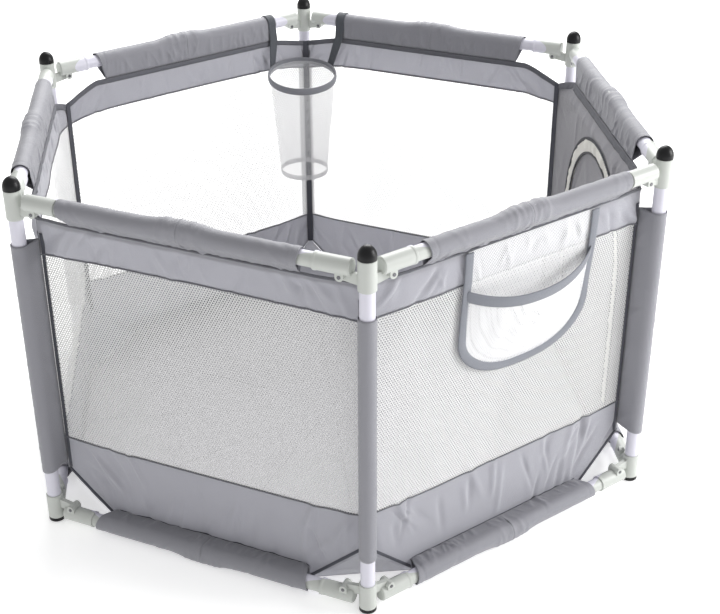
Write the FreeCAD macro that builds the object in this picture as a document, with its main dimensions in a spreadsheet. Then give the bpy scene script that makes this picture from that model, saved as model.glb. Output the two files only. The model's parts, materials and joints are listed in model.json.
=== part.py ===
"""Folding six-sided playpen: six posts, twelve hinged rails, fabric and mesh walls.

Frame: +Z up, origin on the floor at the centre of the six posts, post a at -Y, lengths in mm.
Posts are lettered a to f, clockwise seen from above. Panel ab runs from post a to post b.
Each rail is two half tubes with a hinge at the post and a hinge pin halfway. Upper rails fold
down and lower rails fold up, so that the six upright posts draw together.
"""

import FreeCAD
import Part
import Sketcher
import math
import os

LETTERS = "abcdef"
TURN = 60.0  # degrees from one post to the next
ROOT3 = math.sqrt(3.0)
OUTPUT_FOLDER = "parts"

SIZES = {
    # overall
    "side_length": 630.0,  # post axis to post axis
    "rail_height": 648.0,  # floor to the axis of an upper rail
    "lower_rail_height": 21.0,  # floor to the axis of a lower rail
    # tubes
    "post_tube_radius": 12.5,
    "rail_tube_radius": 12.5,
    "tube_wall": 1.2,
    "fit_clearance": 0.05,  # radial, tube in fitting and pin in hole
    # corner fittings on the posts
    "collar_wall": 2.5,
    "collar_drop": 33.0,  # rail axis to the lower end of the upper collar
    "collar_rise": 19.0,  # rail axis to the upper end of the upper collar
    "lower_collar_start": 7.0,
    "lower_collar_rise": 35.0,  # lower rail axis to the upper end of the lower collar
    "tongue_thickness": 8.0,
    "tongue_gap": 0.3,
    "tongue_root": 12.0,  # how far the tongue widens towards the collar
    "knuckle_radius": 7.0,
    "pivot_reach": 41.0,  # post axis to rail pivot
    "pivot_offset": 15.0,  # rail axis to rail pivot
    "pivot_pin_radius": 3.0,
    "pivot_pin_length": 26.0,
    # sockets on the rail ends
    "socket_wall": 2.0,
    "socket_start": 24.0,
    "socket_end": 86.0,
    "socket_depth": 24.0,  # tube inside socket
    "socket_lip": 0.7,
    "socket_chamfer": 2.0,
    "cheek_width": 24.0,
    # hinge halfway along a rail
    "housing_wall": 1.5,
    "housing_length": 44.0,
    "housing_plug": 22.0,  # solid end of the housing
    "centre_gap": 0.5,
    "centre_pin_offset": 15.0,  # rail axis to centre pin
    "centre_pin_radius": 2.5,
    "centre_knuckle_radius": 4.5,
    "lug_length": 16.0,
    "lug_depth": 5.5,  # centre pin down to the root of the lug
    "middle_lug": 6.0,
    "side_lug": 5.0,
    "lug_gap": 0.3,
    # caps and feet, as wide as the collars
    "cap_height": 22.5,
    "cap_rim": 4.0,
    "plug_length": 14.0,
    "plug_gap": 0.1,
    # fabric walls
    "wall_inset": 30.0,  # rail axis to the wall, inward
    "wall_thickness": 1.2,
    "wall_bottom": 7.5,
    "seam_gap": 1.5,  # between neighbouring walls, and wall to floor
    "seam_drop": 35.0,  # upper rail axis to the sleeve seam
    "lower_seam_rise": 11.0,  # lower rail axis to the lower sleeve seam
    "corner_cut": 87.0,  # post axis to the cut corner of the floor
    "corner_cut_height": 100.0,
    "gusset_thickness": 1.2,
    # sleeves
    "sleeve_ease": 1.9,  # radial, tube to the inside of its sleeve
    "sleeve_thickness": 1.2,
    "sleeve_start": 110.0,
    "sleeve_window": 34.0,  # half of the gap left at the centre hinge
    "post_sleeve_low": 109.0,
    "post_sleeve_drop": 80.0,  # upper rail axis to the upper end of a post sleeve
    # floor
    "floor_bottom": 3.0,
    "floor_thickness": 1.5,
    # arched door in panel ef
    "door_radius": 172.0,
    "door_shift": 25.0,  # middle of the panel to the middle of the door, towards post f
    "door_drop": 276.0,  # upper rail axis to the middle of the door's arch
    "door_sill": 110.0,  # ground to the door's hinge line
    "door_gap": 0.6,
    # pocket on panel fa
    "pocket_width": 286.0,
    "pocket_centre": 286.0,  # post f axis to the middle of the pocket
    "pocket_drop": 110.0,  # upper rail axis to the pocket's rim
    "pocket_height": 180.0,
    "pocket_depth": 40.0,
    "pocket_toe": 6.0,  # depth at the bottom
    "pocket_wall": 2.0,
    # hoop and net at post d
    "hoop_radius": 75.0,
    "hoop_band": 14.0,
    "hoop_thickness": 4.0,
    "hoop_gap": 4.2,  # hoop to the nearer wall
    "hoop_shift": 16.0,  # towards post c
    "hoop_drop": 95.0,  # upper rail axis to the middle of the hoop
    "hoop_slope": 8.0,  # degrees
    "net_height": 229.0,
    "net_end_radius": 52.0,
    "net_thickness": 1.2,
    "strap_width": 20.0,
    "strap_thickness": 1.6,
    "strap_bearing": 56.0,  # degrees round the hoop, from the side of the post to a strap
    "strap_lead": 0.4,  # gap where a strap leaves its loop
    "strap_over": 3.5,  # how far the strap passes over and inside the wall's top seam
}

document = FreeCAD.newDocument("playpen")
sheet = document.addObject("Spreadsheet::Sheet", "sizes")
for row, (alias, number) in enumerate(SIZES.items(), start=1):
    sheet.set(f"A{row}", alias)
    sheet.set(f"B{row}", str(number))
    sheet.setAlias(f"B{row}", alias)
document.recompute()


class Length:
    """A length: its number, and the expression that ties it to the sheet."""

    def __init__(self, text, number):
        self.text = text
        self.number = number

    def __add__(self, other):
        other = length(other)
        return Length(f"({self.text} + {other.text})", self.number + other.number)

    def __sub__(self, other):
        other = length(other)
        return Length(f"({self.text} - {other.text})", self.number - other.number)

    def __mul__(self, factor):
        return Length(f"({self.text} * {factor:.9f})", self.number * factor)

    def __truediv__(self, factor):
        return self * (1.0 / factor)

    def __neg__(self):
        return self * -1.0


def length(value):
    """Turns a plain number into a Length."""
    if isinstance(value, Length):
        return value
    return Length(f"({value:.9f})", float(value))


def size(alias):
    """The named size of the sheet."""
    return Length(f"sizes.{alias}", SIZES[alias])


def ratio_of(top, bottom):
    """top over bottom, for tips that scale with a wall."""
    return Length(f"({top.text} / {bottom.text})", top.number / bottom.number)


def product(left, right):
    """left times right."""
    return Length(f"({left.text} * {right.text})", left.number * right.number)


def bind(item, **lengths):
    """Ties properties of an object to lengths."""
    for name, value in lengths.items():
        item.setExpression(name, length(value).text)


def place(item, at=(0, 0, 0), turn=FreeCAD.Rotation()):
    """Turns an object, then ties its position to three lengths."""
    item.Placement = FreeCAD.Placement(FreeCAD.Vector(*(length(v).number for v in at)), turn)
    for axis, value in zip("xyz", at):
        item.setExpression(f"Placement.Base.{axis}", length(value).text)
    return item


ALONG = {
    "x": FreeCAD.Rotation(FreeCAD.Vector(0, 1, 0), 90),
    "y": FreeCAD.Rotation(FreeCAD.Vector(1, 0, 0), -90),
    "z": FreeCAD.Rotation(),
}


def yaw(degrees):
    return FreeCAD.Rotation(FreeCAD.Vector(0, 0, 1), degrees)


def cylinder(name, radius, height, at, along="z"):
    item = document.addObject("Part::Cylinder", name)
    bind(item, Radius=radius, Height=height)
    return place(item, at, ALONG[along])


def block(name, x, y, z):
    """A box between pairs of lengths, in either order."""
    low = [min(pair, key=lambda v: length(v).number) for pair in (x, y, z)]
    high = [max(pair, key=lambda v: length(v).number) for pair in (x, y, z)]
    item = document.addObject("Part::Box", name)
    spans = [length(b) - a for a, b in zip(low, high)]
    bind(item, Length=spans[0], Width=spans[1], Height=spans[2])
    return place(item, low)


def fuse(name, items):
    item = document.addObject("Part::MultiFuse", name)
    item.Shapes = items
    item.Refine = True
    return item


def common(name, items):
    item = document.addObject("Part::MultiCommon", name)
    item.Shapes = items
    return item


def cut(name, base, tools):
    """base with every tool taken away."""
    item = document.addObject("Part::Cut", name)
    item.Base = base
    item.Tool = tools[0] if len(tools) == 1 else fuse(name + "_tools", tools)
    return item


def body_with_sketch(name, plane):
    """A body and a sketch on one of its own origin planes."""
    body = document.addObject("PartDesign::Body", name)
    sketch = body.newObject("Sketcher::SketchObject", name + "_profile")
    flat = next(f for f in body.Origin.OriginFeatures if f.Role == plane)
    sketch.AttachmentSupport = [(flat, "")]
    sketch.MapMode = "FlatFace"
    return body, sketch


def hold(sketch, geometry, point, where):
    """Ties one point of a sketch to two signed coordinates."""
    for kind, value in zip(("DistanceX", "DistanceY"), where):
        value = length(value)
        ends = (-1, 1, geometry, point)
        if value.number < 0:
            ends, value = (geometry, point, -1, 1), -value
        number = sketch.addConstraint(Sketcher.Constraint(kind, *ends, value.number))
        sketch.setExpression(f"Constraints[{number}]", value.text)


def outline(sketch, points):
    """A closed outline of straight lines."""
    corners = [FreeCAD.Vector(length(x).number, length(y).number, 0) for x, y in points]
    count = len(corners)
    first = sketch.GeometryCount
    for index in range(count):
        sketch.addGeometry(Part.LineSegment(corners[index], corners[(index + 1) % count]))
    for index in range(count):
        follower = first + (index + 1) % count
        sketch.addConstraint(Sketcher.Constraint("Coincident", first + index, 2, follower, 1))
        hold(sketch, first + index, 1, points[index])


def circle(sketch, radius):
    """A circle about the sketch's origin."""
    radius = length(radius)
    number = sketch.addGeometry(Part.Circle(FreeCAD.Vector(), FreeCAD.Vector(0, 0, 1), radius.number))
    sketch.addConstraint(Sketcher.Constraint("Coincident", number, 3, -1, 1))
    held = sketch.addConstraint(Sketcher.Constraint("Radius", number, radius.number))
    sketch.setExpression(f"Constraints[{held}]", radius.text)


def teardrop(sketch, radius, tip):
    """An arc about the sketch's origin whose two tangents meet at a tip."""
    x, y = length(tip[0]).number, length(tip[1]).number
    bearing, spread = math.atan2(y, x), math.acos(radius.number / math.hypot(x, y))
    start, end = bearing + spread, bearing - spread + 2 * math.pi
    ring = Part.Circle(FreeCAD.Vector(), FreeCAD.Vector(0, 0, 1), radius.number)
    corner = FreeCAD.Vector(x, y, 0)
    arc = sketch.addGeometry(Part.ArcOfCircle(ring, start, end))
    down = sketch.addGeometry(Part.LineSegment(corner, ring.value(start)))
    back = sketch.addGeometry(Part.LineSegment(ring.value(end), corner))
    sketch.addConstraint(Sketcher.Constraint("Coincident", arc, 3, -1, 1))
    sketch.addConstraint(Sketcher.Constraint("Tangent", arc, 1, down, 2))
    sketch.addConstraint(Sketcher.Constraint("Tangent", arc, 2, back, 1))
    sketch.addConstraint(Sketcher.Constraint("Coincident", down, 1, back, 2))
    held = sketch.addConstraint(Sketcher.Constraint("Radius", arc, radius.number))
    sketch.setExpression(f"Constraints[{held}]", radius.text)
    hold(sketch, down, 1, tip)


def pad(body, sketch, thickness):
    """Pads a sketch along its plane's normal."""
    feature = body.newObject("PartDesign::Pad", body.Name + "_pad")
    feature.Profile = sketch
    bind(feature, Length=thickness)
    sketch.Visibility = False
    return feature


def revolve(name, points, axis, at, turn=FreeCAD.Rotation()):
    """A body turned about the H_Axis (along x) or V_Axis (along z) of its profile."""
    body, sketch = body_with_sketch(name, "XZ_Plane")
    outline(sketch, points)
    feature = body.newObject("PartDesign::Revolution", name + "_turned")
    feature.Profile = sketch
    feature.ReferenceAxis = (sketch, [axis])
    feature.Angle = 360.0
    return place(body, at, turn)


def plate(name, points, thickness, middle):
    """A flat plate with its outline in x and z, centred on y = middle."""
    body, sketch = body_with_sketch(name, "XZ_Plane")
    outline(sketch, points)
    pad(body, sketch, thickness)
    return place(body, (0, length(middle) + length(thickness) / 2, 0))


def tube(name, radius, wall, height, at, along="z"):
    """A round tube."""
    body, sketch = body_with_sketch(name, "XY_Plane")
    circle(sketch, radius)
    circle(sketch, radius - wall)
    pad(body, sketch, height)
    return place(body, at, ALONG[along])


def node(label, items, at=(0, 0, 0), degrees=0.0):
    """One named sub-part: separate solids that move together."""
    item = document.addObject("Part::Compound", label)
    item.Label = label
    item.Links = items
    place(item, at, yaw(degrees))
    NODES.append(item)
    return item


NODES = []
SIDE = size("side_length")
HALF_SIDE = SIDE / 2
COLLAR_RADIUS = size("post_tube_radius") + size("collar_wall")
SOCKET_RADIUS = size("rail_tube_radius") + size("socket_wall")
HOUSING_RADIUS = size("rail_tube_radius") + size("housing_wall")
FIT = size("fit_clearance")
UPPER, LOWER = 1, -1
RAIL_AXIS = {UPPER: size("rail_height"), LOWER: size("lower_rail_height")}
LEVEL_NAME = {UPPER: "top", LOWER: "bottom"}


def post_place(index):
    """Where the axis of a post stands, and the way from it to the middle."""
    bearing = math.radians(-90.0 - TURN * index)
    at = (SIDE * math.cos(bearing), SIDE * math.sin(bearing), 0)
    return at, 90.0 - TURN * index


def panel_turn(index):
    """Direction from a post to the next one."""
    return 150.0 - TURN * index


def up(level, offset):
    """A height measured from the rail axis, away from the pivot side."""
    return RAIL_AXIS[level] + length(offset) * level


# ---------------------------------------------------------------- corner fittings


def pivot_height(level):
    return up(level, -size("pivot_offset"))


def corner_fitting(level):
    """Collar on the post with two flat tongues, one towards each neighbouring post."""
    name = f"{LEVEL_NAME[level]}_fitting"
    if level == UPPER:
        low, high = RAIL_AXIS[level] - size("collar_drop"), RAIL_AXIS[level] + size("collar_rise")
    else:
        low, high = size("lower_collar_start"), RAIL_AXIS[level] + size("lower_collar_rise")
    chamfer, radius = size("socket_chamfer") / 2, COLLAR_RADIUS
    profile = [(0, 0), (radius - chamfer, 0), (radius, chamfer), (radius, high - low - chamfer)]
    profile += [(radius - chamfer, high - low), (0, high - low)]
    collar = revolve(f"{name}_collar", profile, "V_Axis", (0, 0, low))
    reach, pivot = size("pivot_reach"), pivot_height(level)
    knuckle, root = size("knuckle_radius"), size("tongue_root")
    thickness = size("tongue_thickness")
    arms = []
    for side in (TURN, -TURN):
        web_points = [
            (radius / 2, pivot + knuckle * level),
            (reach, pivot + knuckle * level),
            (reach, pivot - knuckle * level),
            (radius / 2, pivot - root * level),
        ]
        web = plate(f"{name}_web", web_points, thickness, 0)
        round_end = cylinder(f"{name}_knuckle", knuckle, thickness, (reach, -thickness / 2, pivot), "y")
        hole = cylinder(
            f"{name}_hole",
            size("pivot_pin_radius") + FIT,
            thickness * 2,
            (reach, -thickness, pivot),
            "y",
        )
        arm = cut(f"{name}_arm", fuse(f"{name}_tongue", [web, round_end]), [hole])
        arm.Placement = FreeCAD.Placement(FreeCAD.Vector(), yaw(side))
        arms.append(arm)
    bore = cylinder(
        f"{name}_bore", size("post_tube_radius") + FIT, high - low + 2, (0, 0, low - 1)
    )
    return cut(name, fuse(f"{name}_joined", [collar] + arms), [bore])


def pivot_pins():
    """The four pins that hold the rail sockets of one post."""
    pins = []
    half = size("pivot_pin_length") / 2
    for level in (UPPER, LOWER):
        for side in (TURN, -TURN):
            pin = cylinder(
                "pivot_pin",
                size("pivot_pin_radius"),
                half * 2,
                (size("pivot_reach"), -half, pivot_height(level)),
                "y",
            )
            turned = document.addObject("Part::Compound", "turned_pin")
            turned.Links = [pin]
            turned.Placement = FreeCAD.Placement(FreeCAD.Vector(), yaw(side))
            pins.append(turned)
    return pins


POST_LOW = size("lower_collar_start") + 1
POST_HIGH = size("rail_height") + size("collar_rise") - 1


def post_tube():
    radius = size("post_tube_radius")
    return tube("post_tube", radius, size("tube_wall"), POST_HIGH - POST_LOW, (0, 0, POST_LOW))


def domed_cap():
    """A dome over the upper end of the post, with a plug inside the tube."""
    radius, height, rim = COLLAR_RADIUS, size("cap_height"), size("cap_rim")
    base = size("rail_height") + size("collar_rise")
    plug = size("post_tube_radius") - size("tube_wall") - size("plug_gap")
    body, sketch = body_with_sketch("domed_cap", "XZ_Plane")
    depth = size("plug_length")
    rise = height - rim
    # The dome is a quarter ellipse drawn as short chords of equal angle.
    chords = 10
    points = [(0, 0), (plug, 0), (plug, depth), (radius, depth)]
    for step in range(chords):
        angle = math.radians(90.0 * step / chords)
        points.append((radius * math.cos(angle), depth + rim + rise * math.sin(angle)))
    points.append((0, depth + height))
    outline(sketch, points)
    feature = body.newObject("PartDesign::Revolution", "domed_cap_turned")
    feature.Profile = sketch
    feature.ReferenceAxis = (sketch, ["V_Axis"])
    feature.Angle = 360.0
    return place(body, (0, 0, base - depth + FIT))


def rubber_foot():
    """A flat disc under the post, with a plug inside the tube."""
    plug = size("post_tube_radius") - size("tube_wall") - size("plug_gap")
    top, radius = size("lower_collar_start") - FIT, COLLAR_RADIUS
    bevel = size("socket_chamfer") / 2
    points = [(0, 0), (radius - bevel, 0), (radius, bevel), (radius, top), (plug, top)]
    points += [(plug, top + size("plug_length")), (0, top + size("plug_length"))]
    return revolve("rubber_foot", points, "V_Axis", (0, 0, 0))


# ---------------------------------------------------------------- rails


def rail_socket(level):
    """Plastic end of a rail: a forked socket that straddles the tongue."""
    name = f"{LEVEL_NAME[level]}_socket"
    start, end, radius = size("socket_start"), size("socket_end"), SOCKET_RADIUS
    chamfer, lip = size("socket_chamfer"), size("socket_lip")
    reach, pivot, knuckle = size("pivot_reach"), pivot_height(level), size("knuckle_radius")
    cheek = size("cheek_width")
    profile = [
        (start, 0),
        (start, radius - chamfer),
        (start + chamfer, radius),
        (end - chamfer * 3, radius),
        (end - chamfer * 2, radius + lip),
        (end - lip, radius + lip),
        (end, radius),
        (end, 0),
    ]
    barrel = revolve(f"{name}_barrel", profile, "H_Axis", (0, 0, RAIL_AXIS[level]))
    round_end = cylinder(f"{name}_round", knuckle, cheek, (reach, -cheek / 2, pivot), "y")
    side = block(
        f"{name}_cheek",
        (reach - knuckle, reach + knuckle),
        (-cheek / 2, cheek / 2),
        (pivot, RAIL_AXIS[level]),
    )
    clear = size("tongue_gap")
    slot_half = size("tongue_thickness") / 2 + clear
    slot = block(
        f"{name}_slot",
        (start - 1, reach + knuckle + clear * 2),
        (-slot_half, slot_half),
        (pivot - (knuckle * 2) * level, pivot + (knuckle + clear) * level),
    )
    bore_start = end - size("socket_depth")
    bore = cylinder(
        f"{name}_bore",
        size("rail_tube_radius") + FIT,
        size("socket_depth") + 1,
        (bore_start, 0, RAIL_AXIS[level]),
        "x",
    )
    hole = cylinder(
        f"{name}_hole", size("pivot_pin_radius") + FIT, cheek * 2, (reach, -cheek, pivot), "y"
    )
    return cut(name, fuse(f"{name}_joined", [barrel, round_end, side]), [slot, bore, hole])


def centre_housing(level, forked):
    """Plastic end at the middle of a rail: two side lugs when forked, or one middle lug."""
    name = f"{LEVEL_NAME[level]}_{'forked' if forked else 'single'}_housing"
    end = HALF_SIDE - size("centre_gap")
    start = end - size("housing_length")
    radius, chamfer = HOUSING_RADIUS, size("socket_chamfer") / 2
    profile = [(start, 0), (start, radius - chamfer), (start + chamfer, radius)]
    profile += [(end, radius), (end, 0)]
    barrel = revolve(f"{name}_barrel", profile, "H_Axis", (0, 0, RAIL_AXIS[level]))
    knuckle, pin_height = size("centre_knuckle_radius"), up(level, size("centre_pin_offset"))
    middle, side, gap = size("middle_lug") / 2, size("side_lug"), size("lug_gap")
    own = [(-middle, middle)]
    other = [(middle + gap, middle + gap + side), (-(middle + gap + side), -(middle + gap))]
    if forked:
        own, other = other, own
    lugs = []
    for low, high in own:
        lugs.append(
            block(
                f"{name}_lug",
                (HALF_SIDE - size("lug_length"), HALF_SIDE),
                (low, high),
                (pin_height - size("lug_depth") * level, pin_height + knuckle * level),
            )
        )
        lugs.append(
            cylinder(f"{name}_knuckle", knuckle, high - low, (HALF_SIDE, low, pin_height), "y")
        )
    tools = []
    for low, high in other:
        tools.append(
            block(
                f"{name}_relief",
                (HALF_SIDE - size("lug_length") - 1, HALF_SIDE + knuckle * 2),
                (low - gap, high + gap),
                (pin_height - (knuckle + gap) * level, pin_height + radius * level),
            )
        )
    tools.append(
        cylinder(
            f"{name}_bore",
            size("rail_tube_radius") + FIT,
            size("housing_length") - size("housing_plug"),
            (start, 0, RAIL_AXIS[level]),
            "x",
        )
    )
    tools.append(
        cylinder(
            f"{name}_hole",
            size("centre_pin_radius") + FIT,
            radius * 2,
            (HALF_SIDE, -radius, pin_height),
            "y",
        )
    )
    # Reliefs are cut from the barrel first, so that they never touch this half's own lugs.
    trimmed = cut(f"{name}_trimmed", barrel, tools[: len(other)])
    return cut(name, fuse(f"{name}_joined", [trimmed] + lugs), tools[len(other) :])


def rail_half(level, forked):
    """Socket, tube and centre housing of half a rail, from its post towards the middle."""
    name = f"{LEVEL_NAME[level]}_{'forked' if forked else 'single'}_half"
    start = size("socket_end") - size("socket_depth") + 1
    housing_start = HALF_SIDE - size("centre_gap") - size("housing_length")
    end = housing_start + size("housing_length") - size("housing_plug") - 1
    radius, wall = size("rail_tube_radius"), size("tube_wall")
    bar = tube(f"{name}_tube", radius, wall, end - start, (start, 0, RAIL_AXIS[level]), "x")
    pieces = [rail_socket(level), bar, centre_housing(level, forked)]
    if forked:
        half = size("middle_lug") / 2 + size("lug_gap") + size("side_lug")
        pin_at = (HALF_SIDE, -half, up(level, size("centre_pin_offset")))
        pieces.append(cylinder(f"{name}_pin", size("centre_pin_radius"), half * 2, pin_at, "y"))
    return pieces


# ---------------------------------------------------------------- fabric

SEAM_HEIGHT = size("rail_height") - size("seam_drop")
LOWER_SEAM_HEIGHT = size("lower_rail_height") + size("lower_seam_rise")
INSET = size("wall_inset")
CORNER_START = INSET / ROOT3 + size("seam_gap")
CUT_START = (size("corner_cut") - INSET * (ROOT3 / 2)) * 2


def wall_sheet(name):
    """A wall from seam to seam, cut away at its two lower corners."""
    top, bottom = SEAM_HEIGHT - size("seam_gap"), size("wall_bottom")
    points = [
        (CORNER_START, size("corner_cut_height")),
        (CUT_START, LOWER_SEAM_HEIGHT),
        (CUT_START, bottom),
        (SIDE - CUT_START, bottom),
        (SIDE - CUT_START, LOWER_SEAM_HEIGHT),
        (SIDE - CORNER_START, size("corner_cut_height")),
        (SIDE - CORNER_START, top),
        (CORNER_START, top),
    ]
    return plate(name, points, size("wall_thickness"), -INSET)


def sleeve(name, tube_radius, run, tip, at, plane="YZ_Plane"):
    """A fabric sleeve, round over its tube and drawn out to the seam at its tip."""
    inner = tube_radius + size("sleeve_ease")
    outer = inner + size("sleeve_thickness")
    shrink = ratio_of(inner, outer)
    body, sketch = body_with_sketch(name, plane)
    teardrop(sketch, outer, tip)
    teardrop(sketch, inner, [product(length(v), shrink) for v in tip])
    pad(body, sketch, run)
    return place(body, at)


def rail_sleeves():
    """Sleeves on both rails of a panel, each left open at the centre hinge."""
    run = HALF_SIDE - size("sleeve_window") - size("sleeve_start")
    pieces = []
    reach = size("seam_gap") - INSET
    for level, drop in ((UPPER, -size("seam_drop")), (LOWER, size("lower_seam_rise"))):
        for start in (size("sleeve_start"), HALF_SIDE + size("sleeve_window")):
            name, at = f"{LEVEL_NAME[level]}_rail_sleeve", (start, 0, RAIL_AXIS[level])
            pieces.append(sleeve(name, size("rail_tube_radius"), run, (reach, drop), at))
    return pieces


def post_sleeve():
    """Sleeve on a post, in the frame of its panel, drawn in towards the corner seam."""
    low, high = size("post_sleeve_low"), size("rail_height") - size("post_sleeve_drop")
    distance = INSET * (2 / ROOT3) - size("seam_gap") * 2
    tip = (distance * 0.5, -(distance * (ROOT3 / 2)))
    return sleeve(
        "post_sleeve", size("post_tube_radius"), high - low, tip, (0, 0, low), "XY_Plane"
    )


def corner_gusset():
    """Three-cornered piece that closes the wall over the cut corner of the floor."""
    inset, cut_at = SIZES["wall_inset"], SIZES["corner_cut"]
    low = SIZES["lower_rail_height"] + SIZES["lower_seam_rise"]
    high = SIZES["corner_cut_height"]
    start = 2 * inset / ROOT3
    width = (cut_at - start) * ROOT3
    corners = [(start, 0, high), (cut_at, -width, low), (cut_at, width, low)]
    middle = [sum(c[k] for c in corners) / 3 for k in range(3)]
    gap = 3 * SIZES["seam_gap"]
    shrink = 1 - gap * 3 / (high - low)
    points = [
        FreeCAD.Vector(*(m + (c - m) * shrink for c, m in zip(corner, middle)))
        for corner in corners
    ]
    face = Part.Face(Part.makePolygon(points + points[:1]))
    normal = face.normalAt(0, 0)
    item = document.addObject("Part::Feature", "corner_gusset")
    item.Shape = face.extrude(normal * SIZES["gusset_thickness"])
    # The outline is drawn with x towards the middle, which is 60 degrees off the panel.
    item.Placement = FreeCAD.Placement(FreeCAD.Vector(), yaw(-TURN))
    return item


def floor_sheet():
    """Six-sided floor with its corners cut."""
    apothem = SIDE * (ROOT3 / 2) - INSET - size("wall_thickness") / 2 - size("seam_gap")
    cut_at = SIDE - size("corner_cut") - size("seam_gap")
    width = (apothem * (2 / ROOT3) - cut_at) * ROOT3
    points = []
    for index in range(6):
        bearing = math.radians(TURN * index + 90.0)
        cosine, sine = math.cos(bearing), math.sin(bearing)
        for side in (-1, 1):
            points.append(
                (cut_at * cosine - width * (sine * side), cut_at * sine + width * (cosine * side))
            )
    body, sketch = body_with_sketch("floor_slab", "XY_Plane")
    outline(sketch, points)
    pad(body, sketch, size("floor_thickness"))
    return place(body, (0, 0, size("floor_bottom")))


# ---------------------------------------------------------------- arched door


DOOR_MIDDLE = HALF_SIDE + size("door_shift")
DOOR_HEIGHT = size("rail_height") - size("door_drop")


def door_arch(name, radius, hinge_height, thickness):
    """A slab with a round top and straight sides down to the hinge line."""
    front, back = -INSET - thickness / 2, -INSET + thickness / 2
    round_top = cylinder(f"{name}_round", radius, thickness, (DOOR_MIDDLE, front, DOOR_HEIGHT), "y")
    legs = block(
        f"{name}_legs",
        (DOOR_MIDDLE - radius, DOOR_MIDDLE + radius),
        (front, back),
        (hinge_height, DOOR_HEIGHT),
    )
    return fuse(name, [round_top, legs])


def door_wall():
    """Wall sheet with the arched doorway."""
    hole = door_arch(
        "doorway",
        size("door_radius") + size("door_gap"),
        size("door_sill"),
        size("wall_thickness") * 3,
    )
    return cut("door_wall_sheet", wall_sheet("door_wall_blank"), [hole])


def door_flap():
    hinge = size("door_sill") + size("door_gap")
    return door_arch("flap", size("door_radius"), hinge, size("wall_thickness"))


# ---------------------------------------------------------------- pocket


POCKET_RIM = size("rail_height") - size("pocket_drop")
POCKET_BOTTOM = POCKET_RIM - size("pocket_height")


def pouch(name, margin, rim):
    """A pouch shape, round at the bottom and deepest at its rim, smaller by a margin."""
    half = size("pocket_width") / 2 - margin
    low = POCKET_BOTTOM + margin
    centre_height = POCKET_BOTTOM + size("pocket_width") / 2
    back = size("seam_gap") + size("wall_thickness") / 2 - INSET + margin
    front = back + size("pocket_depth") - margin * 2
    toe = back + size("pocket_toe") - margin
    left = size("pocket_centre") - half
    right = size("pocket_centre") + half
    round_part = cylinder(
        f"{name}_round",
        half,
        size("pocket_depth") + 4,
        (size("pocket_centre"), back - 2, centre_height),
        "y",
    )
    square_part = block(f"{name}_square", (left, right), (back - 2, front + 2), (centre_height, rim))
    body, sketch = body_with_sketch(f"{name}_wedge", "YZ_Plane")
    outline(sketch, [(back, low), (toe, low), (front, rim), (back, rim)])
    pad(body, sketch, size("pocket_width") + 2)
    place(body, (size("pocket_centre") - size("pocket_width") / 2 - 1, 0, 0))
    return common(name, [fuse(f"{name}_front", [round_part, square_part]), body])


def pocket():
    wall = size("pocket_wall")
    outside = pouch("pocket_outside", length(0), POCKET_RIM)
    inside = pouch("pocket_inside", wall, POCKET_RIM + 1)
    return cut("pocket_pouch", outside, [inside])


# ---------------------------------------------------------------- hoop


HOOP_REACH = (
    INSET + size("wall_thickness") / 2 + size("hoop_gap") + size("hoop_radius") + size("hoop_shift") / 2
) * (2 / ROOT3)


def hoop_pieces():
    """Hoop, net and straps in the frame of post d, with x towards the middle."""
    radius, band, thick = size("hoop_radius"), size("hoop_band"), size("hoop_thickness")
    at = (HOOP_REACH, -size("hoop_shift"), size("rail_height") - size("hoop_drop"))
    slope = FreeCAD.Rotation(FreeCAD.Vector(0, 1, 0), SIZES["hoop_slope"])
    inner = radius - thick
    bevel = thick / 4
    profile = [
        (inner, -(band / 2)),
        (radius - bevel, -(band / 2)),
        (radius, bevel - band / 2),
        (radius, band / 2 - bevel),
        (radius - bevel, band / 2),
        (inner, band / 2),
    ]
    ring = revolve("hoop_ring", profile, "V_Axis", at, slope)
    skin, end = size("net_thickness"), size("net_end_radius")
    head = inner - size("fit_clearance") * 4
    low = -size("net_height")
    cone = revolve(
        "net_cone",
        [(head - skin, band), (end - skin, low), (end, low), (head, band)],
        "V_Axis",
        at,
    )
    trim = document.addObject("Part::Box", "net_trim")
    bind(trim, Length=radius * 4, Width=radius * 4, Height=radius)
    offset = slope.multVec(FreeCAD.Vector(-2 * radius.number, -2 * radius.number, -band.number / 2))
    place(trim, (at[0] + offset.x, at[1] + offset.y, at[2] + offset.z), slope)
    net = cut("net_shell", cone, [trim])
    return ring, net


def crosswise(middle, width_way, thickness_way):
    """A rectangle across a strap: its middle, and the ways its width and thickness run."""
    half_width = width_way * (SIZES["strap_width"] / 2)
    half_thickness = thickness_way * (SIZES["strap_thickness"] / 2)
    corners = [
        middle - half_width - half_thickness,
        middle + half_width - half_thickness,
        middle + half_width + half_thickness,
        middle - half_width + half_thickness,
    ]
    return Part.makePolygon(corners + corners[:1])


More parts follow.
